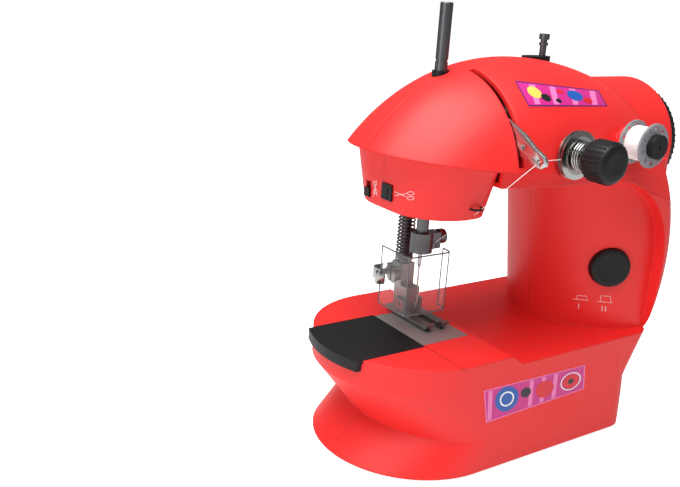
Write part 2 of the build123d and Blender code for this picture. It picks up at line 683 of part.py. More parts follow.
with BuildPart() as shaft_bushes:
    for x0, x1 in ((-9.6, -3), (84.5, 102.2)):
        rod("X", x0, x1, 0, shaft_z, 4.5)
        rod("X", x0 - 1, x1 + 1, 0, shaft_z, shaft_r + running_gap, mode=Mode.SUBTRACT)
shaft_bushes.part.label = "shaft_bushes"
export_step(shaft_bushes.part, "parts/shaft_bushes.step")

with BuildPart() as head_frame:
    block(-8.5, -6, -34, 34, 134, 161)
    block(-8.5, -6, -27, 27, 160, 168)
    rod("X", -18.3, -8.5, lever_pivot_y, lever_pivot_z, 2.0)
    rod("X", -9, -5, 0, shaft_z, 4.5, mode=Mode.SUBTRACT)
head_frame.part.label = "head_frame"
export_step(head_frame.part, "parts/head_frame.step")

# ---- needle and presser ----
with BuildPart() as bar_guide:
    block(-28.5, -17.4, 4, 27.2, 120.7, 126.5)
    fillet(bar_guide.edges().filter_by(Axis.Z).sort_by(Axis.X)[2:].sort_by(Axis.Y)[-1], 10)
    block(-35.5, -28, 20, 26.6, 120.7, 124)
    block(-35.5, -32, 22, 26.6, 120.7, 144)
    rod("X", -32, -25.4, 26, 140, 1.6)
    rod("Z", 117.5, 121, needle_x, needle_y, 5.0)
    rod("Z", 117.5, 121, needle_x, presser_y, 4.6)
    rod("Z", 110, 130, needle_x, needle_y, 3.0 + running_gap, mode=Mode.SUBTRACT)
    rod("Z", 110, 130, needle_x, presser_y, 2.5 + running_gap, mode=Mode.SUBTRACT)
bar_guide.part.label = "bar_guide"
export_step(bar_guide.part, "parts/bar_guide.step")

with BuildPart() as needle_bar:
    rod("Z", 93, 149, needle_x, needle_y, 3.0)
    rod("Z", 134, 143, needle_x, needle_y, 5.0)
    block(-18.2, -16.4, -14, 14, 134, 143)
    block(-19, -16, -12.5, 3.5, yoke_z - 2.4, yoke_z + 2.4, mode=Mode.SUBTRACT)
needle_bar.part.label = "needle_bar"
export_step(needle_bar.part, "parts/needle_bar.step")

with BuildPart() as needle_clamp:
    rod("Z", 91, 101, needle_x, needle_y, 5.5)
    block(needle_x, -12.5, 6.2, 12.8, 92.5, 100.5)
    rod("Z", 93, 102, needle_x, needle_y, 3.0, mode=Mode.SUBTRACT)
    rod("Z", 90, 94, needle_x, needle_y, 1.0, mode=Mode.SUBTRACT)
    rod("X", -19.2, -12, needle_y, 97.5, 1.5 + running_gap, mode=Mode.SUBTRACT)
needle_clamp.part.label = "needle_clamp"
export_step(needle_clamp.part, "parts/needle_clamp.step")

with BuildPart() as clamp_screw:
    rod("X", -18.8, -12, needle_y, 97.5, 1.5)
    rod("X", -12.2, -8.8, needle_y, 97.5, 3.75)
    block(-10, -8, needle_y - 0.5, needle_y + 0.5, 90, 110, mode=Mode.SUBTRACT)
clamp_screw.part.label = "clamp_screw"
export_step(clamp_screw.part, "parts/clamp_screw.step")

with BuildPart() as needle:
    with BuildSketch(Plane.XZ):
        with BuildLine():
            Polyline((0, 93), (1.0, 93), (1.0, 84.5), (0.45, 83), (0.42, 64), (0.05, needle_tip_z),
                     (0, needle_tip_z), close=True)
        make_face()
    revolve(axis=Axis.Z)
needle.part = Pos(needle_x, needle_y, 0) * needle.part
needle.part.label = "needle"
export_step(needle.part, "parts/needle.step")

with BuildPart() as presser_bar:
    rod("Z", 68, 155, needle_x, presser_y, 2.5)
    rod("Z", 146, 150, needle_x, presser_y, 4.5)
presser_bar.part.label = "presser_bar"
export_step(presser_bar.part, "parts/presser_bar.step")

with BuildPart() as presser_lifter:
    with BuildSketch(Plane.YZ.offset(-31.5)):
        with BuildLine():
            Polyline((26, 145), (30, 143.5), (41.5, 130), (46, 128), (46, 124.5), (40.5, 125),
                     (24, 135.5), (21.8, 137.5), (21.8, 142.5), (23, 144.4), close=True)
        make_face()
    extrude(amount=2)
    rod("X", -31.5, -25.6, 26, 140, 4.2)
    block(-31.5, -24.3, 42, 46, 124.5, 128)
    rod("X", -40, -20, 26, 140, 1.6 + running_gap, mode=Mode.SUBTRACT)
presser_lifter.part.label = "presser_lifter"
export_step(presser_lifter.part, "parts/presser_lifter.step")

spring_low, spring_high = 82.2, 117.3
with BuildPart() as presser_spring:
    wire_r, coil_r, turns = 0.55, 4.05, 10
    tight = 5 * 1.9

    def spring_height(turn):
        if turn <= 5:
            return spring_low + wire_r + 1.9 * turn
        return spring_low + wire_r + tight + (spring_high - spring_low - 2 * wire_r - tight) * (turn - 5) / 5
    steps = coil_path(coil_r, spring_height, turns)
    with BuildLine() as wire:
        biarc_edges(steps)
    with BuildSketch(Plane(origin=steps[0][0], x_dir=(1, 0, 0), z_dir=steps[0][1])):
        RegularPolygon(wire_r, 6)
    sweep(path=wire.line if isinstance(wire.line, Wire) else Wire(wire.edges()))
presser_spring.part = Pos(needle_x, presser_y, 0) * presser_spring.part
presser_spring.part.label = "presser_spring"
print("presser spring gap", 1.9 - 2 * wire_r, "valid", presser_spring.part.is_valid)
export_step(presser_spring.part, "parts/presser_spring.step")

with BuildPart() as foot_holder:
    block(-26, -18, 17.8, 26.2, 70, 82)
    block(-26, -18, foot_pivot_y - 3, 23, foot_pivot_z - 2.4, 71)
    rod("Z", 68, 83, needle_x, presser_y, 2.5, mode=Mode.SUBTRACT)
    rod("X", -30, -10, foot_pivot_y, foot_pivot_z, 1.0, mode=Mode.SUBTRACT)
    rod("X", -27, -23, presser_y, 76, 1.5, mode=Mode.SUBTRACT)
foot_holder.part.label = "foot_holder"
export_step(foot_holder.part, "parts/foot_holder.step")

with BuildPart() as foot_screw:
    rod("X", -26, -24.5, presser_y, 76, 1.5)
    rod("X", -29.5, -26, presser_y, 76, 3.8)
    block(-31, -28.4, presser_y - 0.5, presser_y + 0.5, 70, 82, mode=Mode.SUBTRACT)
foot_screw.part.label = "foot_screw"
export_step(foot_screw.part, "parts/foot_screw.step")

with BuildPart() as foot_pin:
    rod("X", -28.9, -15.1, foot_pivot_y, foot_pivot_z, 1.0)
foot_pin.part.label = "foot_pin"
export_step(foot_pin.part, "parts/foot_pin.step")

with BuildPart() as presser_foot:
    with BuildSketch(Plane.YZ.offset(-29)):
        with BuildLine():
            Polyline((-9, 59.3), (-7.5, 57.2), (24, 57.2), (25, 58.2), (25, 58.8), (-6.5, 58.8),
                     (-8, 60.3), close=True)
        make_face()
    extrude(amount=14)
    block(-24, -20, -12, 13.5, 50, 62, mode=Mode.SUBTRACT)
    for x in (-28.2, -17.6):
        block(x, x + 1.8, foot_pivot_y - 3.5, foot_pivot_y + 3.5, 58.8, foot_pivot_z + 2.6)
    rod("X", -30, -10, foot_pivot_y, foot_pivot_z, 1.0 + running_gap, mode=Mode.SUBTRACT)
presser_foot.part.label = "presser_foot"
export_step(presser_foot.part, "parts/presser_foot.step")

with BuildPart() as finger_guard:
    with BuildSketch(Plane.XY.offset(63.5)):
        with Locations((-25.7, 12.5)):
            RectangleRounded(26.6, 32, 3.5)
            RectangleRounded(24.6, 30, 2.5, mode=Mode.SUBTRACT)
        with Locations((-25, 24.5)):
            Rectangle(30, 12, mode=Mode.SUBTRACT)
        with Locations((-12, 17.5)):
            Rectangle(20, 28, mode=Mode.SUBTRACT)
    extrude(amount=30)
finger_guard.part.label = "finger_guard"
export_step(finger_guard.part, "parts/finger_guard.step")

with BuildPart() as guard_bracket:
    block(-38, -18, 26.2, 27.4, 73, 81.9)
    block(-38, -36.8, 14.5, 27.4, 73, 81.9)
    rod("Y", 20, 30, -30, 79, 1.5, mode=Mode.SUBTRACT)
guard_bracket.part.label = "guard_bracket"
export_step(guard_bracket.part, "parts/guard_bracket.step")

with BuildPart() as take_up_lever:
    with BuildSketch(Plane.YZ.offset(lever_x - lever_t / 2)):
        with BuildLine():
            Polyline((-18, 166.5), (-34, 162.5), (-52, 153.5), (-57.5, 150.5), (-57.8, 147.5), (-54, 146.2),
                     (-44, 147.5), (-33, 152), (-19, 159.3), close=True)
        make_face()
        with Locations((lever_pivot_y, lever_pivot_z)):
            Circle(4.2)
        with Locations((lever_eye_y, lever_eye_z)):
            Circle(1.4, mode=Mode.SUBTRACT)
        with Locations((lever_pivot_y, lever_pivot_z)):
            Circle(2.0 + running_gap, mode=Mode.SUBTRACT)
    extrude(amount=lever_t)
take_up_lever.part.label = "take_up_lever"
export_step(take_up_lever.part, "parts/take_up_lever.step")

# ---- thread path on the head ----
with BuildPart() as tension_stud:
    rod("Y", -68, -38, tension_x, tension_z, 2.0)
    rod("Y", -47.4, -46.2, tension_x, tension_z, 9.5)
tension_stud.part.label = "tension_stud"
export_step(tension_stud.part, "parts/tension_stud.step")

with BuildPart() as tension_discs:
    with BuildSketch(Plane.XY):
        with BuildLine():
            Polyline((2.0, -47.4), (8.5, -47.4), (10.8, -47.9), (10.8, -48.5), (8.5, -49.1), (10.8, -49.7),
                     (10.8, -50.3), (8.5, -50.8), (2.0, -50.8), close=True)
        make_face()
    revolve(axis=Axis.Y)
tension_discs.part = Pos(tension_x, 0, tension_z) * tension_discs.part
tension_discs.part.label = "tension_discs"
export_step(tension_discs.part, "parts/tension_discs.step")

with BuildPart() as tension_spring:
    steps = coil_path(6.4, lambda turn: 51.35 + 1.35 * turn, 3)
    with BuildLine() as wire:
        biarc_edges(steps)
    with BuildSketch(Plane(origin=steps[0][0], x_dir=(1, 0, 0), z_dir=steps[0][1])):
        RegularPolygon(0.45, 6)
    sweep(path=wire.line if isinstance(wire.line, Wire) else Wire(wire.edges()))
tension_spring.part = Pos(tension_x, 0, tension_z) * Rot(90, 0, 0) * tension_spring.part
tension_spring.part.label = "tension_spring"
print("tension spring gap", 1.35 - 0.9, "valid", tension_spring.part.is_valid)
export_step(tension_spring.part, "parts/tension_spring.step")

with BuildPart() as tension_knob:
    with BuildSketch(Plane.XY):
        with BuildLine():
            Polyline((2.0 + running_gap, -57.2), (7.6, -57.2), (9.3, -60), (9.2, -68.3), (7.6, -70.5),
                     (0, -70.5), (0, -68.6), (2.0 + running_gap, -68.6), close=True)
        make_face()
    revolve(axis=Axis.Y)
tension_knob.part = Pos(tension_x, 0, tension_z) * tension_knob.part
tension_knob.part.label = "tension_knob"
export_step(tension_knob.part, "parts/tension_knob.step")

with BuildPart() as bobbin_spindle:
    rod("Y", -60.8, -34, spool_x, spool_z, spindle_r)
bobbin_spindle.part.label = "bobbin_spindle"
export_step(bobbin_spindle.part, "parts/bobbin_spindle.step")

with BuildPart() as spool_bobbin:
    with BuildSketch(Plane.XY):
        with BuildLine():
            Polyline((bobbin_bore_r, -47.3), (bobbin_r, -47.3), (bobbin_r, -48.3), (4.6, -48.3),
                     (4.6, -58.0), (bobbin_r, -58.0), (bobbin_r, -59.0), (bobbin_bore_r, -59.0), close=True)
        make_face()
    revolve(axis=Axis.Y)
spool_bobbin.part = Pos(spool_x, 0, spool_z) * spool_bobbin.part
spool_bobbin.part.label = "spool_bobbin"
export_step(spool_bobbin.part, "parts/spool_bobbin.step")

with BuildPart() as thread_core:
    rod("Y", -58.0, -48.3, spool_x, spool_z, 7.9)
    rod("Y", -59, -47, spool_x, spool_z, 4.6, mode=Mode.SUBTRACT)
thread_core.part.label = "thread_core"
export_step(thread_core.part, "parts/thread_core.step")

with BuildPart() as bobbin_cap:
    rod("Y", -62.2, -59.3, spool_x, spool_z, 5.5)
    rod("Y", -60.8, -59, spool_x, spool_z, spindle_r, mode=Mode.SUBTRACT)
    rod("Y", -63, -61.7, spool_x, spool_z, 0.7, mode=Mode.SUBTRACT)
bobbin_cap.part.label = "bobbin_cap"
export_step(bobbin_cap.part, "parts/bobbin_cap.step")

with BuildPart() as spool_pin_sleeve:
    rod("Z", 166, 179, spool_pin_x, spool_pin_y, 3.9)
    rod("Z", 165, 180, spool_pin_x, spool_pin_y, spool_pin_r + running_gap, mode=Mode.SUBTRACT)
spool_pin_sleeve.part.label = "spool_pin_sleeve"
export_step(spool_pin_sleeve.part, "parts/spool_pin_sleeve.step")

with BuildPart() as spool_pin:
    rod("Z", 171, 182.8, spool_pin_x, spool_pin_y, spool_pin_r)
    rod("Z", 182.8, 184, spool_pin_x, spool_pin_y, spool_pin_r - 0.3)
    rod("Z", 184, 208.7, spool_pin_x, spool_pin_y, spool_pin_r)
    fillet(spool_pin.faces().sort_by(Axis.Z)[-1].edges(), 0.6)
spool_pin.part.label = "spool_pin"
export_step(spool_pin.part, "parts/spool_pin.step")

with BuildPart() as short_pin_base:
    with BuildSketch(Plane.XY.offset(180)):
        with Locations((short_base_x, short_pin_y)):
            Ellipse(8.5, 4.6)
    extrude(amount=5.8)
    rod("Z", 168, 181, short_pin_x, short_pin_y, 3.4)
    rod("Z", 160, 190, short_pin_x, short_pin_y, 1.6 + running_gap, mode=Mode.SUBTRACT)
short_pin_base.part.label = "short_pin_base"
export_step(short_pin_base.part, "parts/short_pin_base.step")

with BuildPart() as short_pin:
    rod("Z", 165, 196.2, short_pin_x, short_pin_y, 1.6)
    rod("Z", 193.6, 196.2, short_pin_x, short_pin_y, 2.5)
    rod("Z", 190.8, 192, short_pin_x, short_pin_y, 2.2)
short_pin.part.label = "short_pin"
export_step(short_pin.part, "parts/short_pin.step")

# ---- small fittings ----
with BuildPart() as speed_button:
    with Locations(button_plane.offset(34)):
        Cylinder(button_r, 10.2, align=(Align.CENTER, Align.CENTER, Align.MIN))
        Cylinder(11.4, 2.2, align=(Align.CENTER, Align.CENTER, Align.MIN))
speed_button.part.label = "speed_button"
export_step(speed_button.part, "parts/speed_button.step")

with BuildPart() as switch_frame:
    block(92, 101, -36.7, -23.3, 99.3, 115.7)
    block(93.5, 103, -35.3, -24.7, 101, 114, mode=Mode.SUBTRACT)
    rod("Y", -35.3, -24.7, 98, 107.5, 0.9)
switch_frame.part.label = "switch_frame"
export_step(switch_frame.part, "parts/switch_frame.step")

with BuildPart() as power_switch:
    with BuildSketch(Plane.XZ.offset(25.1)):
        with BuildLine():
            Polyline((96, 103), (96, 112), (103.6, 112.6), (101.6, 107.5), (101.0, 102.4), close=True)
        make_face()
    extrude(amount=9.8)
    rod("Y", -36, -24, 98, 107.5, 0.9 + running_gap, mode=Mode.SUBTRACT)
power_switch.part.label = "power_switch"
export_step(power_switch.part, "parts/power_switch.step")

with BuildPart() as sockets:
    rod("Y", 36, 48.4, 61, 36, 4.0)
    rod("Y", 38, 49, 61, 36, 2.75, mode=Mode.SUBTRACT)
    rod("Y", 38, 47.4, 61, 36, 1.0)
    rod("Y", 35, 48.4, 45, 36, 3.2)
    rod("Y", 36, 49, 45, 36, 1.8, mode=Mode.SUBTRACT)
sockets.part.label = "sockets"
export_step(sockets.part, "parts/sockets.step")

with BuildPart() as thread_cutter:
    block(-55.2, -52.0, -7, 0.5, 123.2, 130.4)
    block(-56, -53.6, -4.4, -3.8, 122, 128.4, mode=Mode.SUBTRACT)
thread_cutter.part.label = "thread_cutter"
export_step(thread_cutter.part, "parts/thread_cutter.step")

with BuildPart() as thread_guide:
    with Locations((guide_x, guide_y, guide_z)):
        Torus(3.2, 0.5)
thread_guide.part.label = "thread_guide"
export_step(thread_guide.part, "parts/thread_guide.step")

with BuildPart() as lamp:
    rod("Z", 115.2, 123, -48.5, -1.5, 4.2)
    fillet(lamp.faces().sort_by(Axis.Z)[0].edges(), 1.6)
lamp.part.label = "lamp"
export_step(lamp.part, "parts/lamp.step")

with BuildPart() as lamp_switch:
    block(-55.2, -50.4, 10.1, 13.9, 121.3, 125.3)
    block(-50.4, -49.2, 9, 14.6, 120.9, 126)
lamp_switch.part.label = "lamp_switch"
export_step(lamp_switch.part, "parts/lamp_switch.step")
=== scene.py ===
import json
import math
import bmesh
import bpy
from mathutils import Matrix, Vector
from mathutils.bvhtree import BVHTree


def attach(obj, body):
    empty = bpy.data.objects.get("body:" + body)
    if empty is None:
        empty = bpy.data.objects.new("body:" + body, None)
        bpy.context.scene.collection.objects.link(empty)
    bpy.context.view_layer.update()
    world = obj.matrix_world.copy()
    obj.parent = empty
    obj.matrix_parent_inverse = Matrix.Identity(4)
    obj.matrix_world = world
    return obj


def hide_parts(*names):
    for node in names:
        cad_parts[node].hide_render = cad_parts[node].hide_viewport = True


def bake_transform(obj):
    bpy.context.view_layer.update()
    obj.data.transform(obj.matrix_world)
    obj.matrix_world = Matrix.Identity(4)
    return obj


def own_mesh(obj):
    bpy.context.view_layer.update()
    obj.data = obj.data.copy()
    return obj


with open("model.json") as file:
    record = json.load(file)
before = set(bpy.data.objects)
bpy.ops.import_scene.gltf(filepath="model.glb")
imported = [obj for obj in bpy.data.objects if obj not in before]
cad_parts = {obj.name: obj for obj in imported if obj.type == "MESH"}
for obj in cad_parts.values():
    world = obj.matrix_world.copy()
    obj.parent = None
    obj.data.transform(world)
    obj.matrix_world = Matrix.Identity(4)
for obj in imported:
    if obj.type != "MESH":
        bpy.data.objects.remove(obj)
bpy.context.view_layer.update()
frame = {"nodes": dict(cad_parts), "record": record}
nodes = frame["nodes"]
slotOf = {part["node"]: part["material_slot"] for part in frame["record"]["subparts"]}
scene = bpy.context.scene
scene.view_settings.view_transform = "Standard"
mm = 0.001
print("frame loaded,", len(nodes), "nodes")

# camera at the photograph's place; right, up and back are its axes in the machine's frame
view = {"lens": 44.43, "sensor": 36.0, "near": 0.01, "far": 20.0, "place": (-272.924, -293.55, 215.288),
        "right": (0.8391219, -0.5407439, 0.0589102), "up": (0.1153017, 0.2826666, 0.9522632),
        "back": (-0.5315825, -0.7922724, 0.2995404), "middlePixel": (340.0, 243.5), "focalPixels": 839.22}
cameraData = bpy.data.cameras.new("camera")
cameraData.lens, cameraData.sensor_width = view["lens"], view["sensor"]
cameraData.clip_start, cameraData.clip_end = view["near"], view["far"]
camera = bpy.data.objects.new("camera", cameraData)
scene.collection.objects.link(camera)
cameraTurn = Matrix((view["right"], view["up"], view["back"])).transposed()
camera.matrix_world = Matrix.Translation(Vector(view["place"]) * mm) @ cameraTurn.to_4x4()
scene.camera = camera

# sockets and tools of the shader groups
floatIn, colourIn, vectorIn = "NodeSocketFloat", "NodeSocketColor", "NodeSocketVector"
skinOutputs = (("Colour", colourIn), ("Roughness", floatIn), ("Height", floatIn))


def newGroup(name, inputs):
    group = bpy.data.node_groups.new(name, "ShaderNodeTree")
    for label, kind, value in inputs:
        socket = group.interface.new_socket(label, in_out="INPUT", socket_type=kind)
        socket.default_value = value
    for label, kind in skinOutputs:
        group.interface.new_socket(label, in_out="OUTPUT", socket_type=kind)
    return group, group.nodes.new("NodeGroupInput"), group.nodes.new("NodeGroupOutput")


def addNode(tree, kind, **values):
    node = tree.nodes.new(kind)
    for key, value in values.items():
        setattr(node, key, value)
    return node


# each join is a node, its output, the next node and its input
def wire(tree, *joins):
    for source, output, target, entry in joins:
        tree.links.new(source.outputs[output], target.inputs[entry])


# links output sockets to the named inputs of one node
def feed(tree, target, values):
    for label, source in values.items():
        tree.links.new(source, target.inputs[label])


# a Math node on two sockets or plain numbers
def calc(tree, operation, a, b, clamp=False):
    node = addNode(tree, "ShaderNodeMath", operation=operation, use_clamp=clamp)
    for socket, value in zip(node.inputs, (a, b)):
        if isinstance(value, (int, float)):
            socket.default_value = value
        else:
            tree.links.new(value, socket)
    return node.outputs[0]


def noise(tree, place, levels):
    node = tree.nodes.new("ShaderNodeTexNoise")
    for label, value in levels.items():
        node.inputs[label].default_value = value
    tree.links.new(place, node.inputs["Vector"])
    return node


def toned(tree, colour, brightness):
    shade = tree.nodes.new("ShaderNodeHueSaturation")
    feed(tree, shade, {"Color": colour, "Value": brightness})
    return shade.outputs["Color"]


# moulded skin: fine spark grain, slow tone drift and a little dust in the gloss
mouldNoise = {"slow": {"Scale": 22.0, "Detail": 3.0}, "fine": {"Detail": 2.0}, "middle": 0.5}
mouldSkin, skinIn, skinOut = newGroup("mouldSkin", [
    ("Colour", colourIn, (0.5, 0.5, 0.5, 1)), ("Drift", floatIn, 0.06), ("Roughness", floatIn, 0.4),
    ("Dust", floatIn, 0.05), ("Grain size", floatIn, 900.0), ("Grain", floatIn, 0.2)])
place = mouldSkin.nodes.new("ShaderNodeTexCoord").outputs["Object"]
slow = noise(mouldSkin, place, mouldNoise["slow"]).outputs["Fac"]
fine = noise(mouldSkin, place, mouldNoise["fine"])
wire(mouldSkin, (skinIn, "Grain size", fine, "Scale"))
drift = calc(mouldSkin, "SUBTRACT", slow, mouldNoise["middle"])
bright = calc(mouldSkin, "ADD", calc(mouldSkin, "MULTIPLY", drift, skinIn.outputs["Drift"]), 1.0)
dusty = calc(mouldSkin, "MULTIPLY", slow, skinIn.outputs["Dust"])
feed(mouldSkin, skinOut, {
    "Colour": toned(mouldSkin, skinIn.outputs["Colour"], bright),
    "Roughness": calc(mouldSkin, "ADD", dusty, skinIn.outputs["Roughness"], True),
    "Height": calc(mouldSkin, "MULTIPLY", fine.outputs["Fac"], skinIn.outputs["Grain"])})

# worked metal: stretched brush lines and stains
metalNoise = {"lines": {"Scale": 3.0}, "cloud": {"Scale": 140.0, "Detail": 4.0}}
metalSkin, metalIn, metalOut = newGroup("metalSkin", [
    ("Colour", colourIn, (0.6, 0.6, 0.6, 1)), ("Stain", floatIn, 0.15), ("Roughness", floatIn, 0.3),
    ("Brush", floatIn, 0.1), ("Stretch", vectorIn, (60.0, 900.0, 60.0))])
place = metalSkin.nodes.new("ShaderNodeTexCoord").outputs["Object"]
scaled = addNode(metalSkin, "ShaderNodeVectorMath", operation="MULTIPLY")
feed(metalSkin, scaled, {0: place, 1: metalIn.outputs["Stretch"]})
lines = noise(metalSkin, scaled.outputs[0], metalNoise["lines"]).outputs["Fac"]
cloud = noise(metalSkin, place, metalNoise["cloud"]).outputs["Fac"]
darker = calc(metalSkin, "SUBTRACT", 1.0, calc(metalSkin, "MULTIPLY", cloud, metalIn.outputs["Stain"]))
brushed = calc(metalSkin, "MULTIPLY", lines, metalIn.outputs["Brush"])
feed(metalSkin, metalOut, {
    "Colour": toned(metalSkin, metalIn.outputs["Colour"], darker),
    "Roughness": calc(metalSkin, "ADD", brushed, metalIn.outputs["Roughness"], True),
    "Height": brushed})

relief = {"depth": 0.0002, "edgeSamples": 6}  # depth in metres, as every edgeRadius below


# one material: a skin group into the Principled shader, whose other sockets take plain values
def finish(name, group, values, bump, edgeRadius, plain):
    material = bpy.data.materials.new(name)
    material.use_nodes = True
    tree = material.node_tree
    shader = tree.nodes["Principled BSDF"]
    skin = addNode(tree, "ShaderNodeGroup", node_tree=group)
    for label, value in values.items():
        skin.inputs[label].default_value = value
    height = tree.nodes.new("ShaderNodeBump")
    height.inputs["Strength"].default_value = bump
    height.inputs["Distance"].default_value = relief["depth"]
    wire(tree, (skin, "Colour", shader, "Base Color"), (skin, "Roughness", shader, "Roughness"),
         (skin, "Height", height, "Height"), (height, "Normal", shader, "Normal"))
    if edgeRadius:
        edge = addNode(tree, "ShaderNodeBevel", samples=relief["edgeSamples"])
        edge.inputs["Radius"].default_value = edgeRadius
        wire(tree, (edge, "Normal", height, "Normal"))
    for label, value in plain.items():
        shader.inputs[label].default_value = value
    return material


def moulded(name, colour, roughness, drift=0.06, dust=0.06, size=900.0, grain=0.3, bump=0.15, edgeRadius=0.0,
            plain=None):
    values = {"Colour": (*colour, 1), "Roughness": roughness, "Drift": drift, "Dust": dust,
              "Grain size": size, "Grain": grain}
    return finish(name, mouldSkin, values, bump, edgeRadius, plain or {})


def metal(name, colour, roughness, stain=0.15, brush=0.12, stretch=(60, 900, 60), bump=0.2):
    values = {"Colour": (*colour, 1), "Roughness": roughness, "Stain": stain, "Brush": brush,
              "Stretch": stretch}
    return finish(name, metalSkin, values, bump, 0.0, {"Metallic": 1.0})


redShell = moulded("redShell", (0.83, 0.022, 0.020), 0.42, drift=0.05, dust=0.08, edgeRadius=0.0010,
                   plain={"Coat Weight": 0.06, "Specular IOR Level": 0.4, "Coat Roughness": 0.3})
blackPlastic = moulded("blackPlastic", (0.007, 0.007, 0.008), 0.42, drift=0.3, grain=0.5, bump=0.25,
                       plain={"Specular IOR Level": 0.3})
softRubber = moulded("softRubber", (0.02, 0.02, 0.02), 0.75, drift=0.3, grain=0.8, bump=0.4)
naturalNylon = moulded("naturalNylon", (0.74, 0.72, 0.64), 0.5, plain={"Subsurface Weight": 0.1})
whiteThread = moulded("whiteThread", (0.86, 0.86, 0.86), 0.75, size=2600.0, grain=0.8, bump=0.5)
cellSkin = moulded("cellSkin", (0.04, 0.10, 0.07), 0.35)
markPaint = moulded("markPaint", (0.88, 0.88, 0.88), 0.5)
seamShade = moulded("seamShade", (0.16, 0.002, 0.003), 0.7)
# painted shade for the edges of the clear guard
paintedGuardEdgeShade = moulded("paintedGuardEdgeShade", (0.13, 0.14, 0.145), 0.15, plain={"Alpha": 0.8})
inkColours = {"violet": (0.10, 0.01, 0.13), "magenta": (0.60, 0.02, 0.24), "pink": (0.85, 0.20, 0.48),
              "blue": (0.01, 0.10, 0.42), "yellow": (0.85, 0.60, 0.10), "black": (0.012, 0.012, 0.014),
              "red": (0.70, 0.01, 0.02), "white": (0.9, 0.9, 0.9)}
inks = {name: moulded("ink" + name.capitalize(), colour, 0.3) for name, colour in inkColours.items()}
clearPlastic = moulded("clearPlastic", (0.80, 0.84, 0.86), 0.06, drift=0.01, dust=0.03, bump=0.02,
                       plain={"Alpha": 0.07})
bobbinPlastic = moulded("bobbinPlastic", (0.30, 0.31, 0.33), 0.22, plain={"Alpha": 0.85})
steel = metal("steel", (0.42, 0.42, 0.41), 0.30)
darkSteel = metal("darkSteel", (0.16, 0.16, 0.17), 0.35, brush=0.08)
chrome = metal("chrome", (0.50, 0.50, 0.49), 0.18, stain=0.25, brush=0.03)
wornSteel = metal("wornSteel", (0.36, 0.36, 0.34), 0.34, stain=0.4, brush=0.06)
plateSteel = metal("plateSteel", (0.52, 0.52, 0.51), 0.5, brush=0.2, stretch=(900, 60, 60))
brightSteel = metal("brightSteel", (0.60, 0.60, 0.60), 0.24, stain=0.1, brush=0.02)
brass = metal("brass", (0.60, 0.44, 0.16), 0.3)
slotFinish = {"red_shell": redShell, "black_plastic": blackPlastic, "rubber": softRubber,
              "nylon": naturalNylon, "thread": whiteThread, "cell_skin": cellSkin,
              "clear_plastic": clearPlastic, "bobbin_plastic": bobbinPlastic, "steel": steel,
              "chrome": chrome, "brass": brass}
print("materials made,", len(bpy.data.materials))

# making and placing: sizes are in millimetres, and these matrices stand Z along an axis
axisTurn = {"X": Matrix(((0, 0, 1), (1, 0, 0), (0, 1, 0))), "Y": Matrix(((0, 1, 0), (0, 0, 1), (1, 0, 0))),
            "Z": Matrix.Identity(3)}
mergeGap = 1e-6  # in metres


def meshObject(name, vertices, faces):
    mesh = bpy.data.meshes.new(name)
    mesh.from_pydata([tuple(c * mm for c in v) for v in vertices], [], faces)
    work = bmesh.new()
    work.from_mesh(mesh)
    bmesh.ops.remove_doubles(work, verts=work.verts, dist=mergeGap)
    bmesh.ops.recalc_face_normals(work, faces=work.faces)
    work.to_mesh(mesh)
    work.free()
    piece = bpy.data.objects.new(name, mesh)
    scene.collection.objects.link(piece)
    return piece


# puts the mesh that the modifiers give in their place
def evaluated(piece):
    graph = bpy.context.evaluated_depsgraph_get()
    mesh = bpy.data.meshes.new_from_object(piece.evaluated_get(graph))
    piece.modifiers.clear()
    piece.data = mesh
    return piece


def drilled(piece, drills):
    for drill in drills:
        step = piece.modifiers.new("drill", "BOOLEAN")
        step.operation, step.solver, step.object = "DIFFERENCE", "EXACT", drill
    evaluated(piece)
    for drill in drills:
        bpy.data.objects.remove(drill)
    return piece


# edges that turn by more than angle, in degrees, stay sharp
def smooth(piece, angle=60.0):
    piece.data.polygons.foreach_set("use_smooth", [True] * len(piece.data.polygons))
    piece.data.set_sharp_from_angle(angle=math.radians(angle))
    return piece


def roundEdges(piece, width, angle):
    edge = piece.modifiers.new("edges", "BEVEL")
    edge.width, edge.segments, edge.limit_method = width * mm, 2, "ANGLE"
    edge.angle_limit = math.radians(angle)
    return evaluated(piece)


def paintWhole(piece, material):
    piece.data.materials.clear()
    piece.data.materials.append(material)
    for face in piece.data.polygons:
        face.material_index = 0


def settle(piece, body, slot, material, *replaced):
    paintWhole(piece, material)
    if replaced:
        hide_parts(*replaced)
    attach(piece, body)
    return piece


# turns (radius, height) points about an axis; closed joins the last point to the first
def lathe(name, profile, origin, axis, segments=64, closed=True):
    vertices, rings, faces = [], [], []
    for radius, height in profile:
        if radius == 0:
            rings.append([len(vertices)] * segments)
            vertices.append((0, 0, height))
            continue
        rings.append(list(range(len(vertices), len(vertices) + segments)))
        for k in range(segments):
            a = 2 * math.pi * k / segments
            vertices.append((radius * math.cos(a), radius * math.sin(a), height))
    pairs = list(zip(rings, rings[1:])) + ([(rings[-1], rings[0])] if closed else [])
    for low, high in pairs:
        for k in range(segments):
            n = (k + 1) % segments
            face = [low[k], low[n], high[n], high[k]]
            face = [v for i, v in enumerate(face) if v != face[i - 1]]
            if len(face) > 2:
                faces.append(face)
    return meshObject(name, [tuple(axisTurn[axis] @ Vector(v) + Vector(origin)) for v in vertices], faces)


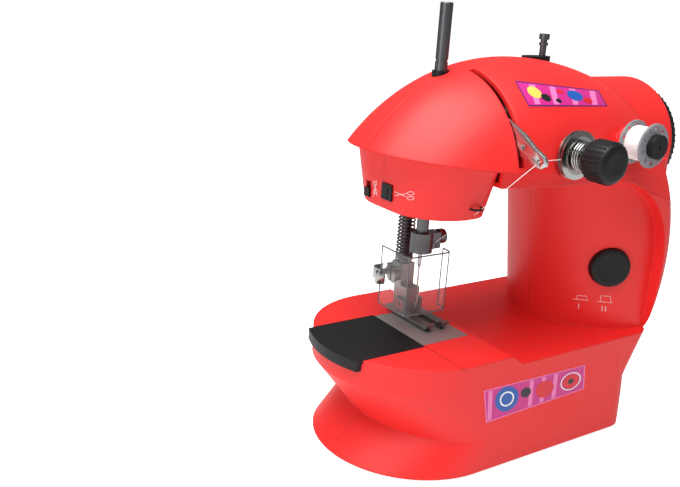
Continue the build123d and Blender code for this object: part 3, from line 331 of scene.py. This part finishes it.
# a round tube along points, with steady frames from point to point and closed ends
def tube(name, points, radius, sides=8):
    points = [Vector(p) for p in points]
    vertices, faces = [], []
    normal = None
    for i, p in enumerate(points):
        ahead = points[min(i + 1, len(points) - 1)] - points[max(i - 1, 0)]
        ahead.normalize()
        if normal is None:
            normal = ahead.orthogonal().normalized()
        normal = (normal - ahead * normal.dot(ahead)).normalized()
        side = ahead.cross(normal)
        for k in range(sides):
            a = 2 * math.pi * k / sides
            vertices.append(tuple(p + normal * (radius * math.cos(a)) + side * (radius * math.sin(a))))
    for i in range(len(points) - 1):
        for k in range(sides):
            n = (k + 1) % sides
            faces.append((i * sides + k, i * sides + n, (i + 1) * sides + n, (i + 1) * sides + k))
    faces.append(tuple(range(sides)))
    faces.append(tuple(range(len(vertices) - sides, len(vertices))))
    return meshObject(name, vertices, faces)


# turns a piece made along Z onto an axis and moves it to its place
def placed(piece, turned, origin):
    piece.data.transform(Matrix.Translation(Vector(origin) * mm) @ turned.to_4x4())
    return piece


# adds the other meshes to the piece's own mesh
def joined(piece, others):
    work = bmesh.new()
    work.from_mesh(piece.data)
    for other in others:
        work.from_mesh(other.data)
        bpy.data.objects.remove(other)
    work.to_mesh(piece.data)
    work.free()
    return piece


def arc(x, y, radius, degrees):
    return [(x + radius * math.cos(math.radians(d)), y + radius * math.sin(math.radians(d))) for d in degrees]


# CAD nodes keep their shape and get the finish of their slot, or their own
ownFinish = {"spool_pin": darkSteel, "short_pin": darkSteel, "needle_clamp": darkSteel,
             "clamp_screw": darkSteel, "needle_bar": darkSteel, "presser_bar": darkSteel,
             "foot_holder": wornSteel, "foot_screw": wornSteel, "presser_foot": wornSteel,
             "foot_pin": wornSteel, "bobbin_spindle": chrome, "needle_plate": plateSteel}
for node, piece in nodes.items():
    paintWhole(piece, ownFinish.get(node, slotFinish[slotOf[node]]))
print("nodes finished,", len(nodes))

# Geometry Nodes trees for what repeats
wholeIn, lengthIn, finishIn = "NodeSocketInt", "NodeSocketFloat", "NodeSocketMaterial"


def newTree(name, inputs):
    tree = bpy.data.node_groups.new(name, "GeometryNodeTree")
    for label, kind, value in inputs:
        socket = tree.interface.new_socket(label, in_out="INPUT", socket_type=kind)
        if value is not None:
            socket.default_value = value
    tree.interface.new_socket("Geometry", in_out="OUTPUT", socket_type="NodeSocketGeometry")
    return tree, tree.nodes.new("NodeGroupInput"), tree.nodes.new("NodeGroupOutput")


# runs a tree on an empty mesh and gives the plain mesh object
def runTree(name, tree, values):
    piece = bpy.data.objects.new(name, bpy.data.meshes.new(name))
    scene.collection.objects.link(piece)
    step = piece.modifiers.new("make", "NODES")
    step.node_group = tree
    identifiers = {item.name: item.identifier for item in tree.interface.items_tree
                   if item.in_out == "INPUT"}
    for label, value in values.items():
        step[identifiers[label]] = value
    return evaluated(piece)


# round ribs standing round a drum along Z; bigger ones serve as a ring of drills
ribTree, ribIn, ribOut = newTree("ribsRoundDrum", [
    ("Count", wholeIn, 24), ("Drum radius", lengthIn, 0.01), ("Rib radius", lengthIn, 0.001),
    ("Rib length", lengthIn, 0.01), ("Sides", wholeIn, 8), ("Lift", lengthIn, 0.0),
    ("Finish", finishIn, None)])
circle = addNode(ribTree, "GeometryNodeMeshCircle")
rib = addNode(ribTree, "GeometryNodeMeshCylinder")
spread = addNode(ribTree, "GeometryNodeInstanceOnPoints")
position = addNode(ribTree, "GeometryNodeInputPosition")
outwards = addNode(ribTree, "FunctionNodeAlignRotationToVector", axis="X")
real = addNode(ribTree, "GeometryNodeRealizeInstances")
lift = addNode(ribTree, "ShaderNodeCombineXYZ")
shift = addNode(ribTree, "GeometryNodeSetPosition")
paint = addNode(ribTree, "GeometryNodeSetMaterial")
wire(ribTree, (ribIn, "Count", circle, "Vertices"), (ribIn, "Drum radius", circle, "Radius"),
     (ribIn, "Sides", rib, "Vertices"), (ribIn, "Rib radius", rib, "Radius"),
     (ribIn, "Rib length", rib, "Depth"), (position, "Position", outwards, "Vector"),
     (circle, "Mesh", spread, "Points"), (rib, "Mesh", spread, "Instance"),
     (outwards, "Rotation", spread, "Rotation"), (spread, "Instances", real, "Geometry"),
     (ribIn, "Lift", lift, "Z"), (real, "Geometry", shift, "Geometry"), (lift, "Vector", shift, "Offset"),
     (shift, "Geometry", paint, "Geometry"), (ribIn, "Finish", paint, "Material"),
     (paint, "Geometry", ribOut, "Geometry"))

# a thread wound as a helix along Z
windTree, windIn, windOut = newTree("windingAlongZ", [
    ("Turns", lengthIn, 20.0), ("Winding radius", lengthIn, 0.008), ("Width", lengthIn, 0.01),
    ("Strand radius", lengthIn, 0.0002), ("Points per turn", wholeIn, 28), ("Sides", wholeIn, 6),
    ("Finish", finishIn, None)])
spiral = addNode(windTree, "GeometryNodeCurveSpiral")
ring = addNode(windTree, "GeometryNodeCurvePrimitiveCircle")
swept = addNode(windTree, "GeometryNodeCurveToMesh")
swept.inputs["Fill Caps"].default_value = True
soft = addNode(windTree, "GeometryNodeSetShadeSmooth")
paint = addNode(windTree, "GeometryNodeSetMaterial")
wire(windTree, (windIn, "Points per turn", spiral, "Resolution"), (windIn, "Turns", spiral, "Rotations"),
     (windIn, "Winding radius", spiral, "Start Radius"), (windIn, "Winding radius", spiral, "End Radius"),
     (windIn, "Width", spiral, "Height"), (windIn, "Sides", ring, "Resolution"),
     (windIn, "Strand radius", ring, "Radius"), (spiral, "Curve", swept, "Curve"),
     (ring, "Curve", swept, "Profile Curve"), (swept, "Mesh", soft, "Geometry"),
     (soft, "Geometry", paint, "Geometry"), (windIn, "Finish", paint, "Material"),
     (paint, "Geometry", windOut, "Geometry"))


# sizes are in millimetres; ring is the drum's radius and middle the ribs' place along its axis
def ribs(name, sizes, material, sides=8):
    return runTree(name, ribTree, {
        "Count": sizes["count"], "Drum radius": sizes["ring"] * mm, "Rib radius": sizes["radius"] * mm,
        "Rib length": sizes["length"] * mm, "Lift": sizes["middle"] * mm, "Sides": sides, "Finish": material})


# tension knob with grip ribs; the profile is radius and Y
knob = {"x": 12.3, "z": 148.6, "sides": 72,
        "profile": [(2.05, -57.2), (7.0, -57.2), (7.7, -57.5), (9.0, -59.7), (9.15, -60.6), (9.1, -68.0),
                    (8.7, -69.2), (7.8, -70.1), (6.6, -70.5), (4.0, -70.3), (0, -70.2), (0, -68.6),
                    (2.05, -68.6)],
        "ribs": {"count": 26, "ring": 8.7, "radius": 0.62, "length": 9.2, "middle": -64.1}}
knobPlace = (knob["x"], 0, knob["z"])
tensionGrip = lathe("tensionGrip", knob["profile"], knobPlace, "Y", knob["sides"])
knobRibs = placed(ribs("knobRibs", knob["ribs"], blackPlastic), axisTurn["Y"], knobPlace)
joined(smooth(tensionGrip, 40), [smooth(knobRibs, 50)])
settle(tensionGrip, "tension_knob", "black_plastic", blackPlastic, "tension_knob")

# hand wheel with finger ribs on its rim; the profile is radius and X
wheel = {"axisZ": 143.0, "sides": 120,
         "profile": [(2.5, 103), (27.3, 103), (28.3, 103.4), (28.75, 104.3), (28.75, 108.7), (28.3, 109.6),
                     (27.4, 110), (24.0, 110), (23.0, 109.6), (21.6, 107.6), (20.4, 107), (9.6, 107),
                     (8.6, 107.4), (8.0, 109.7), (7.4, 110.3), (6.0, 110.5), (0, 110.5), (0, 109),
                     (2.5, 109)],
         "ribs": {"count": 60, "ring": 28.3, "radius": 0.75, "length": 5.2, "middle": 106.5}}
wheelPlace = (0, 0, wheel["axisZ"])
grip = lathe("handGrip", wheel["profile"], wheelPlace, "X", wheel["sides"])
wheelRibs = placed(ribs("wheelRibs", wheel["ribs"], blackPlastic), axisTurn["X"], wheelPlace)
joined(smooth(grip, 40), [smooth(wheelRibs, 50)])
settle(grip, "main_drive", "black_plastic", blackPlastic, "hand_wheel")

# speed button with an easy edge and a shallow dish, square to the turned front of the column
button = {"x": 85.204, "z": 85.5, "angle": 30.7, "sides": 96,
          "profile": [(0, 34), (11.4, 34), (11.4, 36.2), (10.0, 36.2), (10.0, 43.2), (9.7, 43.9), (9.1, 44.2),
                      (7.5, 44.15), (4.0, 43.95), (0, 43.9)]}
pushButton = lathe("pushButton", button["profile"], (0, 0, 0), "Z", button["sides"], closed=False)
facing = math.radians(button["angle"])
upright = Vector((0, 0, 1))
outward = Vector((-math.sin(facing), -math.cos(facing), 0))
stand = Matrix((upright.cross(outward), upright, outward)).transposed()
placed(pushButton, stand, (button["x"], 0, button["z"]))
settle(smooth(pushButton, 40), "speed_button", "black_plastic", blackPlastic, "speed_button")
print("grips and button made")

# bobbin on the head: holed flanges and wound thread
bobbin = {"x": 50.6, "z": 152.3, "front": -59.0, "back": -47.3, "radius": 10.15, "bore": 3.1, "flange": 1.0,
          "core": 4.6, "edge": (0.2, 0.25, 0.15), "sides": 96, "drillSides": 24,
          "holes": {"count": 10, "ring": 7.7, "radius": 1.05, "length": 20.0, "middle": -53.0},
          "thread": [(4.6, -58.0), (7.6, -58.0), (7.75, -57.4), (7.75, -48.9), (7.6, -48.3), (4.6, -48.3)],
          "turns": 24.0, "windingRadius": 7.72, "windingWidth": 9.0, "strand": 0.20, "windingStart": -57.65}
bobbinPlace = (bobbin["x"], 0, bobbin["z"])


# edge holds how far the outer corners step in, and their outer and inner easing along Y
def flangedBobbin(name):
    b = bobbin
    front, back, flange, radius, core = b["front"], b["back"], b["flange"], b["radius"], b["core"]
    step, outer, inner = b["edge"]
    profile = [(b["bore"], front), (radius - step, front), (radius, front + outer),
               (radius, front + flange - inner), (radius - step, front + flange), (core, front + flange),
               (core, back - flange), (radius - step, back - flange), (radius, back - flange + inner),
               (radius, back - outer), (radius - step, back), (b["bore"], back)]
    return lathe(name, profile, bobbinPlace, "Y", b["sides"])


headBobbin = flangedBobbin("headBobbin")
flangeDrills = ribs("flangeDrills", bobbin["holes"], bobbinPlastic, bobbin["drillSides"])
drilled(headBobbin, [placed(flangeDrills, axisTurn["Y"], bobbinPlace)])
settle(smooth(headBobbin, 35), "thread_bobbin", "bobbin_plastic", bobbinPlastic, "spool_bobbin")
core = lathe("threadCore", bobbin["thread"], bobbinPlace, "Y")
wound = runTree("woundThread", windTree, {
    "Turns": bobbin["turns"], "Winding radius": bobbin["windingRadius"] * mm,
    "Width": bobbin["windingWidth"] * mm, "Strand radius": bobbin["strand"] * mm, "Finish": whiteThread})
placed(wound, axisTurn["Y"], (bobbin["x"], bobbin["windingStart"], bobbin["z"]))
joined(smooth(core, 40), [wound])
settle(core, "thread_bobbin", "thread", whiteThread, "thread_core")
print("bobbin wound")

# springs: the presser spring starts with a few close turns, the tension spring lies along Y behind the knob
perTurn = 28
presser = {"x": -22.0, "y": 22.0, "low": 82.2, "high": 117.3, "radius": 4.05, "wire": 0.45, "turns": 20,
           "close": 4, "closePitch": 1.2, "travel": 6.0}
tension = {"radius": 6.4, "wire": 0.45, "turns": 3, "start": 51.35, "pitch": 1.35}
wireSides = 10


def coilPoints(x, y, radius, heightAt, turns):
    points = []
    for k in range(turns * perTurn + 1):
        a = 2 * math.pi * k / perTurn
        points.append((x + radius * math.cos(a), y + radius * math.sin(a), heightAt(k / perTurn)))
    return points


def presserHeight(turned):
    low, high = presser["low"] + presser["wire"], presser["high"] - presser["wire"]
    close, closePitch = presser["close"], presser["closePitch"]
    near = min(turned, close)
    pitch = (high - low - closePitch * close) / (presser["turns"] - close)
    return low + closePitch * near + pitch * (turned - near)


def tensionReach(turned):
    return tension["start"] + tension["pitch"] * turned


spring = tube("presserCoil", coilPoints(presser["x"], presser["y"], presser["radius"], presserHeight,
                                        presser["turns"]), presser["wire"], wireSides)
settle(smooth(spring), "presser_unit", "chrome", darkSteel, "presser_spring")
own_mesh(spring)
tensionPath = [(knob["x"] + x, -z, knob["z"] + y) for x, y, z in
               coilPoints(0, 0, tension["radius"], tensionReach, tension["turns"])]
tensionCoil = tube("tensionCoil", tensionPath, tension["wire"], wireSides)
settle(smooth(tensionCoil), "housing", "chrome", chrome, "tension_spring")
print("springs wound")

# thread, from the bobbin to the needle
thread = {"radius": 0.16, "sides": 6, "bobbinOff": (44.4, -55.0, 147.7), "discOn": (21.0, -49.1, 144.2),
          "leverEye": (-16.0, -55.0, 149.0), "guide": (-28.0, -33.6, 122.4), "clamp": (-16.5, 6.0, 95.6),
          "needleEye": (-22.0, 9.1, 64.5), "discRadius": 8.6, "discDegrees": range(-30, -171, -10),
          "steps": {"fromBobbin": 12, "moving": 16, "toNeedle": 14}}


def strand(name, points, body):
    piece = tube(name, points, thread["radius"], thread["sides"])
    settle(smooth(piece), body, "thread", whiteThread)


# a stretch of thread between two bodies, left in place and tied to neither
def bridge(name, points):
    piece = tube(name, points, thread["radius"], thread["sides"])
    smooth(piece)
    piece.data.materials.append(whiteThread)
    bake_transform(piece)


def stretch(a, b, count):
    return [tuple(Vector(a).lerp(Vector(b), i / count)) for i in range(count + 1)]


roundDisc = [(x, thread["discOn"][1], z) for x, z in
             arc(knob["x"], knob["z"], thread["discRadius"], thread["discDegrees"])]
steps = thread["steps"]
strand("threadFromBobbin", stretch(thread["bobbinOff"], thread["discOn"], steps["fromBobbin"]), "housing")
strand("threadRoundDiscs", [thread["discOn"]] + roundDisc, "housing")
bridge("threadToLever", stretch(roundDisc[-1], thread["leverEye"], steps["moving"]))
bridge("threadFromLever", stretch(thread["guide"], thread["leverEye"], steps["moving"]))
bridge("threadToClamp", stretch(thread["guide"], thread["clamp"], steps["moving"]))
strand("threadToNeedle", stretch(thread["clamp"], thread["needleEye"], steps["toNeedle"]), "needle_unit")
print("thread run")

# printed labels and marks: their places are pixels, across and down, in the camera's 680 by 487 frame
shells = [BVHTree.FromObject(nodes[name], bpy.context.evaluated_depsgraph_get())
          for name in ("front_housing", "rear_housing", "thread_cutter")]
eye = camera.matrix_world.translation


# point of the nearest shell behind a place of the frame, lifted off it in millimetres
def onShell(across, down, lift):
    middle = view["middlePixel"]
    ray = cameraTurn @ Vector((across - middle[0], middle[1] - down, -view["focalPixels"])).normalized()
    hits = [cast[:2] for cast in (tree.ray_cast(eye, ray) for tree in shells) if cast[0]]
    hit, normal = min(hits, key=lambda cast: (cast[0] - eye).length)
    return tuple((hit + normal * lift * mm) / mm)


# place inside four corners: top left, top right, bottom right, bottom left
def within(corners, u, v):
    a, b, c, d = (Vector(corner) for corner in corners)
    return a.lerp(b, u).lerp(d.lerp(c, u), v)


# a thin printed patch through rows of shares of a label's width and height
def printed(name, corners, rows, lift, ink):
    vertices = [onShell(*within(corners, u, v), lift) for row in rows for u, v in row]
    width = len(rows[0])
    faces = [(r * width + k, r * width + k + 1, (r + 1) * width + k + 1, (r + 1) * width + k)
             for r in range(len(rows) - 1) for k in range(width - 1)]
    settle(smooth(meshObject(name, vertices, faces)), "housing", "red_shell", inks[ink])


# the label's own field; inset is the border left free at its sides and at its top and bottom
def panel(name, corners, inset, lift, ink, across=24, down=10):
    left, top = inset
    rows = [[(left + (1 - 2 * left) * k / across, top + (1 - 2 * top) * r / down) for k in range(across + 1)]
            for r in range(down + 1)]
    printed(name, corners, rows, lift, ink)


# a leaning stripe from edge to edge of a label
def band(name, corners, middle, label, lift, across=6, down=8):
    half, lean = label["stripeHalf"], label["stripeLean"]
    top, bottom = label["stripeEnds"]
    rows = []
    for r in range(down + 1):
        left = middle - half + lean * (0.5 - r / down)
        height = top + (bottom - top) * r / down
        rows.append([(left + 2 * half * k / across, height) for k in range(across + 1)])
    printed(name, corners, rows, lift, "pink")


# a round dot, or a ring when inner is above 0; size is its radius as shares of the label's width and height
def spot(name, corners, u, v, size, inner, lift, ink, steps=28):
    angles = [2 * math.pi * k / steps for k in range(steps + 1)]
    rows = [[(u + size[0] * t * math.cos(a), v + size[1] * t * math.sin(a)) for a in angles]
            for t in (inner, (1 + inner) / 2, 1.0)]
    printed(name, corners, rows, lift, ink)


# layers lie a little over one another; a dot is its place, radius, inner share and ink
lifts = {"edge": 0.05, "field": 0.08, "stripe": 0.10, "dot": 0.12, "nextDot": 0.01}
labels = {
    "dome": {"corners": ((514.5, 80.5), (598.7, 90.5), (607.5, 106.5), (528.7, 106.5)), "edge": "violet",
             "inset": (0.015, 0.06), "stripes": (0.16, 0.40, 0.64, 0.88), "stripeHalf": 0.035,
             "stripeEnds": (0.09, 0.91), "stripeLean": 0.06, "dotWidth": 0.34,
             "dots": ((0.17, 0.42, 0.24, 0, "yellow"), (0.28, 0.62, 0.17, 0, "black"),
                      (0.66, 0.45, 0.27, 0, "blue"), (0.50, 0.30, 0.11, 0, "red"),
                      (0.79, 0.68, 0.16, 0, "red"), (0.42, 0.74, 0.10, 0, "black"))},
    "base": {"corners": ((483.8, 390.8), (585.0, 365.0), (583.8, 388.8), (486.0, 423.0)), "edge": "pink",
             "inset": (0.01, 0.03), "stripes": (0.05, 0.46, 0.58, 0.70), "stripeHalf": 0.02,
             "stripeEnds": (0.06, 0.94), "stripeLean": 0.03, "dotWidth": 0.30,
             "dots": ((0.22, 0.45, 0.40, 0, "blue"), (0.22, 0.45, 0.24, 0.8, "white"),
                      (0.41, 0.42, 0.17, 0, "black"), (0.60, 0.50, 0.30, 0, "red"),
                      (0.86, 0.50, 0.34, 0.9, "white"), (0.86, 0.50, 0.27, 0, "red"),
                      (0.86, 0.50, 0.10, 0, "black"))}}
for place, label in labels.items():
    corners = label["corners"]
    panel(place + "LabelEdge", corners, (0, 0), lifts["edge"], label["edge"])
    panel(place + "Label", corners, label["inset"], lifts["field"], "magenta")
    for k, middle in enumerate(label["stripes"]):
        band("%sStripe%d" % (place, k), corners, middle, label, lifts["stripe"])
    for k, (u, v, size, inner, ink) in enumerate(label["dots"]):
        spot("%sDot%d" % (place, k), corners, u, v, (size * label["dotWidth"], size), inner,
             lifts["dot"] + lifts["nextDot"] * k, ink)


# step is in pixels; lift and the two radii are in millimetres
line = {"step": 1.2, "lift": 0.02, "thin": 0.11, "bar": 0.22, "sides": 6}


# a painted line through places of the frame, laid on the shell
def markLine(name, places, ink, radius):
    points = []
    for (x1, y1), (x2, y2) in zip(places, places[1:]):
        count = max(2, int(math.hypot(x2 - x1, y2 - y1) / line["step"]))
        points += [onShell(x1 + (x2 - x1) * k / count, y1 + (y2 - y1) * k / count, line["lift"])
                   for k in range(count)]
    points.append(onShell(*places[-1], line["lift"]))
    settle(smooth(tube(name, points, radius, line["sides"])), "housing", "red_shell", ink)


# a closed oval, which begins at its right end or, with start at half a turn, at its left end
def loop(x, y, rx, ry, start=0.0, steps=16):
    angles = [start + 2 * math.pi * k / steps for k in range(steps + 1)]
    return [(x + rx * math.cos(a), y + ry * math.sin(a)) for a in angles]


marks = {
    "shearsBladeA": [(394.4, 191.6), (407.0, 197.0)],
    "shearsBladeB": [(394.6, 195.6), (407.0, 193.4)],
    "shearsBowA": loop(410.7, 193.4, 3.4, 1.7, math.pi),
    "shearsBowB": loop(410.7, 198.2, 3.4, 1.7, math.pi),
    "threadBladeA": [(373.6, 180.0), (374.4, 187.0), (377.2, 195.8)],
    "threadBladeB": [(376.6, 180.4), (375.2, 187.6), (373.8, 196.6)],
    "threadBowA": loop(375.4, 191.2, 1.7, 2.6),
    "threadBowB": loop(375.3, 183.4, 1.5, 2.2),
    "lowBase": [(572.8, 298.8), (588.4, 300.4)],
    "lowCap": [(576.0, 299.1), (577.8, 295.4), (586.4, 296.2), (587.2, 300.2)],
    "highBase": [(597.6, 301.4), (612.4, 302.8)],
    "highCap": [(600.2, 301.6), (600.8, 295.6), (610.4, 296.4), (611.0, 302.6)],
    "lowMark": [(578.6, 303.6), (578.6, 308.6)],
    "highMarkA": [(602.0, 306.0), (602.0, 311.2)],
    "highMarkB": [(605.4, 306.2), (605.4, 311.4)]}
seams = {
    "faceSeam": (0.10, [(367.5, 150.0), (377.0, 134.0), (390.0, 116.5), (409.0, 97.5), (424.0, 86.5)]),
    "barrelSeam": (0.10, [(600.5, 80.5), (612.0, 88.0), (624.0, 99.0), (633.0, 109.0), (640.0, 118.0)]),
    "armSeam": (0.12, [(425.5, 346.5), (445.0, 358.5), (465.5, 370.5)])}
for name, places in marks.items():
    markLine(name, places, markPaint, line["bar" if "Mark" in name else "thin"])
for name, (radius, places) in seams.items():
    markLine(name, places, seamShade, radius)
print("labels and marks printed")

# painted shade along the edges of the clear guard, drawn as dark tubes: its outline in plan, and four
# uprights
guard = {"top": 93.2, "middle": 78.0, "foot": 63.8,
         "topRadius": 0.42, "footRadius": 0.36, "uprightRadius": 0.32,
         "plan": [(-38.5, 18.5), (-38.5, 9.0), (-38.5, 0.5)] + arc(-35.5, 0, 3, range(190, 270, 16)) +
                 [(-35.0, -3.0), (-25.0, -3.0), (-16.4, -3.0)] + arc(-15.9, 0, 3, range(-80, 0, 16)) +
                 [(-12.9, 0.5), (-12.9, 3.5)],
         "corners": [(-37.7, -2.2), (-13.7, -2.2)]}
plan = guard["plan"]
guardEdges = tube("guardRim", [(x, y, guard["top"]) for x, y in plan], guard["topRadius"])
others = [tube("guardEdge", [(x, y, guard["foot"]) for x, y in plan], guard["footRadius"])]
others += [tube("guardEdge", [(x, y, guard[height]) for height in ("top", "middle", "foot")],
                guard["uprightRadius"]) for x, y in [plan[0], plan[-1]] + guard["corners"]]
joined(guardEdges, others)
settle(smooth(guardEdges), "presser_unit", "clear_plastic", paintedGuardEdgeShade)

# take-up lever: a flat strip with a tapering arm; outline and holes are Y and Z, a hole ends with its radius
takeUp = {"sides": (-17.0, -15.0), "edge": 0.35,
          "outline": [(-16.2, 165.2), (-18.6, 167.0), (-22.5, 167.1), (-34.0, 163.0), (-44.5, 158.4),
                      (-52.0, 153.6), (-57.0, 151.3), (-58.6, 149.4), (-58.4, 147.2), (-56.6, 145.8),
                      (-54.0, 145.7), (-49.0, 147.3), (-42.0, 149.0), (-33.0, 152.6), (-24.0, 157.4),
                      (-18.4, 159.2), (-16.0, 161.0)],
          "holes": [(-55.0, 149.0, 1.4), (-20.0, 163.0, 2.05), (-45.5, 153.0, 1.2)], "drill": (-20, -12),
          "roundAngle": 30}


# a straight drill between two places of its axis
def drillBit(radius, ends, origin, axis, sides=32):
    near, far = ends
    profile = [(0, near), (radius, near), (radius, far), (0, far)]
    return lathe("drill", profile, origin, axis, sides, closed=False)


count = len(takeUp["outline"])
lever = meshObject("leverArm", [(x, y, z) for x in takeUp["sides"] for y, z in takeUp["outline"]],
                   [tuple(range(count)), tuple(range(count, 2 * count))] +
                   [(k, (k + 1) % count, count + (k + 1) % count, count + k) for k in range(count)])
drilled(lever, [drillBit(r, takeUp["drill"], (0, y, z), "X") for y, z, r in takeUp["holes"]])
roundEdges(lever, takeUp["edge"], takeUp["roundAngle"])
settle(smooth(lever, 35), "take_up", "chrome", brightSteel, "take_up_lever")

# guard bracket: a bent strip with a rolled end, its path in plan
bracket = {"low": 74.6, "high": 80.4, "thick": 1.0, "edge": 0.2,
           "path": [(-18.0, 26.8), (-28.0, 26.8), (-35.5, 26.8)] + arc(-35.5, 24.8, 2, (112, 135, 158, 180)) +
                   [(-37.5, 22.0), (-37.6, 19.0)] + arc(-39.6, 17.2, 2, range(0, -271, -30)),
           "hole": (-30, 0, 79), "holeRadius": 1.55, "drill": (20, 30), "roundAngle": 40}


# a strip that stands between two heights and follows a path in plan
def bentStrip(name, path, low, high, thickness):
    points = [Vector(p) for p in path]
    rows = []
    for i, p in enumerate(points):
        ahead = (points[min(i + 1, len(points) - 1)] - points[max(i - 1, 0)]).normalized()
        aside = Vector((-ahead.y, ahead.x)) * thickness / 2
        rows.append((p + aside, p - aside))
    vertices = [(q.x, q.y, z) for a, b in rows for q in (a, b) for z in (low, high)]
    last = 4 * len(rows) - 4
    faces = [(0, 1, 3, 2), (last, last + 1, last + 3, last + 2)]
    for a in range(0, last, 4):
        b = a + 4
        faces += [(a, a + 1, b + 1, b), (a + 2, a + 3, b + 3, b + 2), (a, a + 2, b + 2, b),
                  (a + 1, a + 3, b + 3, b + 1)]
    return meshObject(name, vertices, faces)


strip = bentStrip("guardStrip", bracket["path"], bracket["low"], bracket["high"], bracket["thick"])
drilled(strip, [drillBit(bracket["holeRadius"], bracket["drill"], bracket["hole"], "Y")])
roundEdges(strip, bracket["edge"], bracket["roundAngle"])
settle(smooth(strip, 40), "presser_unit", "steel", chrome, "guard_bracket")
print("lever and bracket shaped")

# floor and light: the world is dim for the object and white for the camera
studio = {"dim": 0.22, "white": 1.0, "floorHalf": 6, "paper": (0.9, 0.9, 0.9, 1), "paperRoughness": 0.9,
          "paperGlow": 0.9, "aim": (0.0, 0.0, 0.1)}
lamps = {"overhead": {"place": (-0.25, -0.08, 0.95), "size": (0.9, 0.8), "power": 14.2},
         "leftFill": {"place": (-1.1, -0.22, 0.42), "size": (0.5, 0.7), "power": 3.1}}
world = bpy.data.worlds.new("studio")
world.use_nodes = True
scene.world = world
tree = world.node_tree
background = tree.nodes["Background"]
background.inputs["Color"].default_value = (1, 1, 1, 1)
rays = tree.nodes.new("ShaderNodeLightPath")
level = addNode(tree, "ShaderNodeMapRange")
level.inputs["To Min"].default_value, level.inputs["To Max"].default_value = studio["dim"], studio["white"]
seen = calc(tree, "MAXIMUM", rays.outputs["Is Camera Ray"], rays.outputs["Is Transmission Ray"])
feed(tree, level, {"Value": seen})
wire(tree, (level, "Result", background, "Strength"))

half = studio["floorHalf"]
floorMesh = bpy.data.meshes.new("floor")
floorMesh.from_pydata([(-half, -half, 0), (half, -half, 0), (half, half, 0), (-half, half, 0)], [],
                      [(0, 1, 2, 3)])
floor = bpy.data.objects.new("floor", floorMesh)
scene.collection.objects.link(floor)
paper = bpy.data.materials.new("paper")
paper.use_nodes = True
tree = paper.node_tree
shader = tree.nodes["Principled BSDF"]
shader.inputs["Base Color"].default_value = studio["paper"]
shader.inputs["Roughness"].default_value = studio["paperRoughness"]
shader.inputs["Emission Color"].default_value = (1, 1, 1, 1)
rays = tree.nodes.new("ShaderNodeLightPath")
feed(tree, shader, {"Emission Strength": calc(tree, "MULTIPLY", rays.outputs["Is Camera Ray"],
                                              studio["paperGlow"])})
floorMesh.materials.append(paper)


def softbox(name, lamp):
    lampData = bpy.data.lights.new(name, "AREA")
    lampData.shape, lampData.energy = "RECTANGLE", lamp["power"]
    lampData.size, lampData.size_y = lamp["size"]
    lampObject = bpy.data.objects.new(name, lampData)
    lampObject.location = lamp["place"]
    towards = Vector(studio["aim"]) - Vector(lamp["place"])
    lampObject.rotation_euler = towards.to_track_quat("-Z", "Y").to_euler()
    scene.collection.objects.link(lampObject)


for name, lamp in lamps.items():
    softbox(name, lamp)
print("stage set")
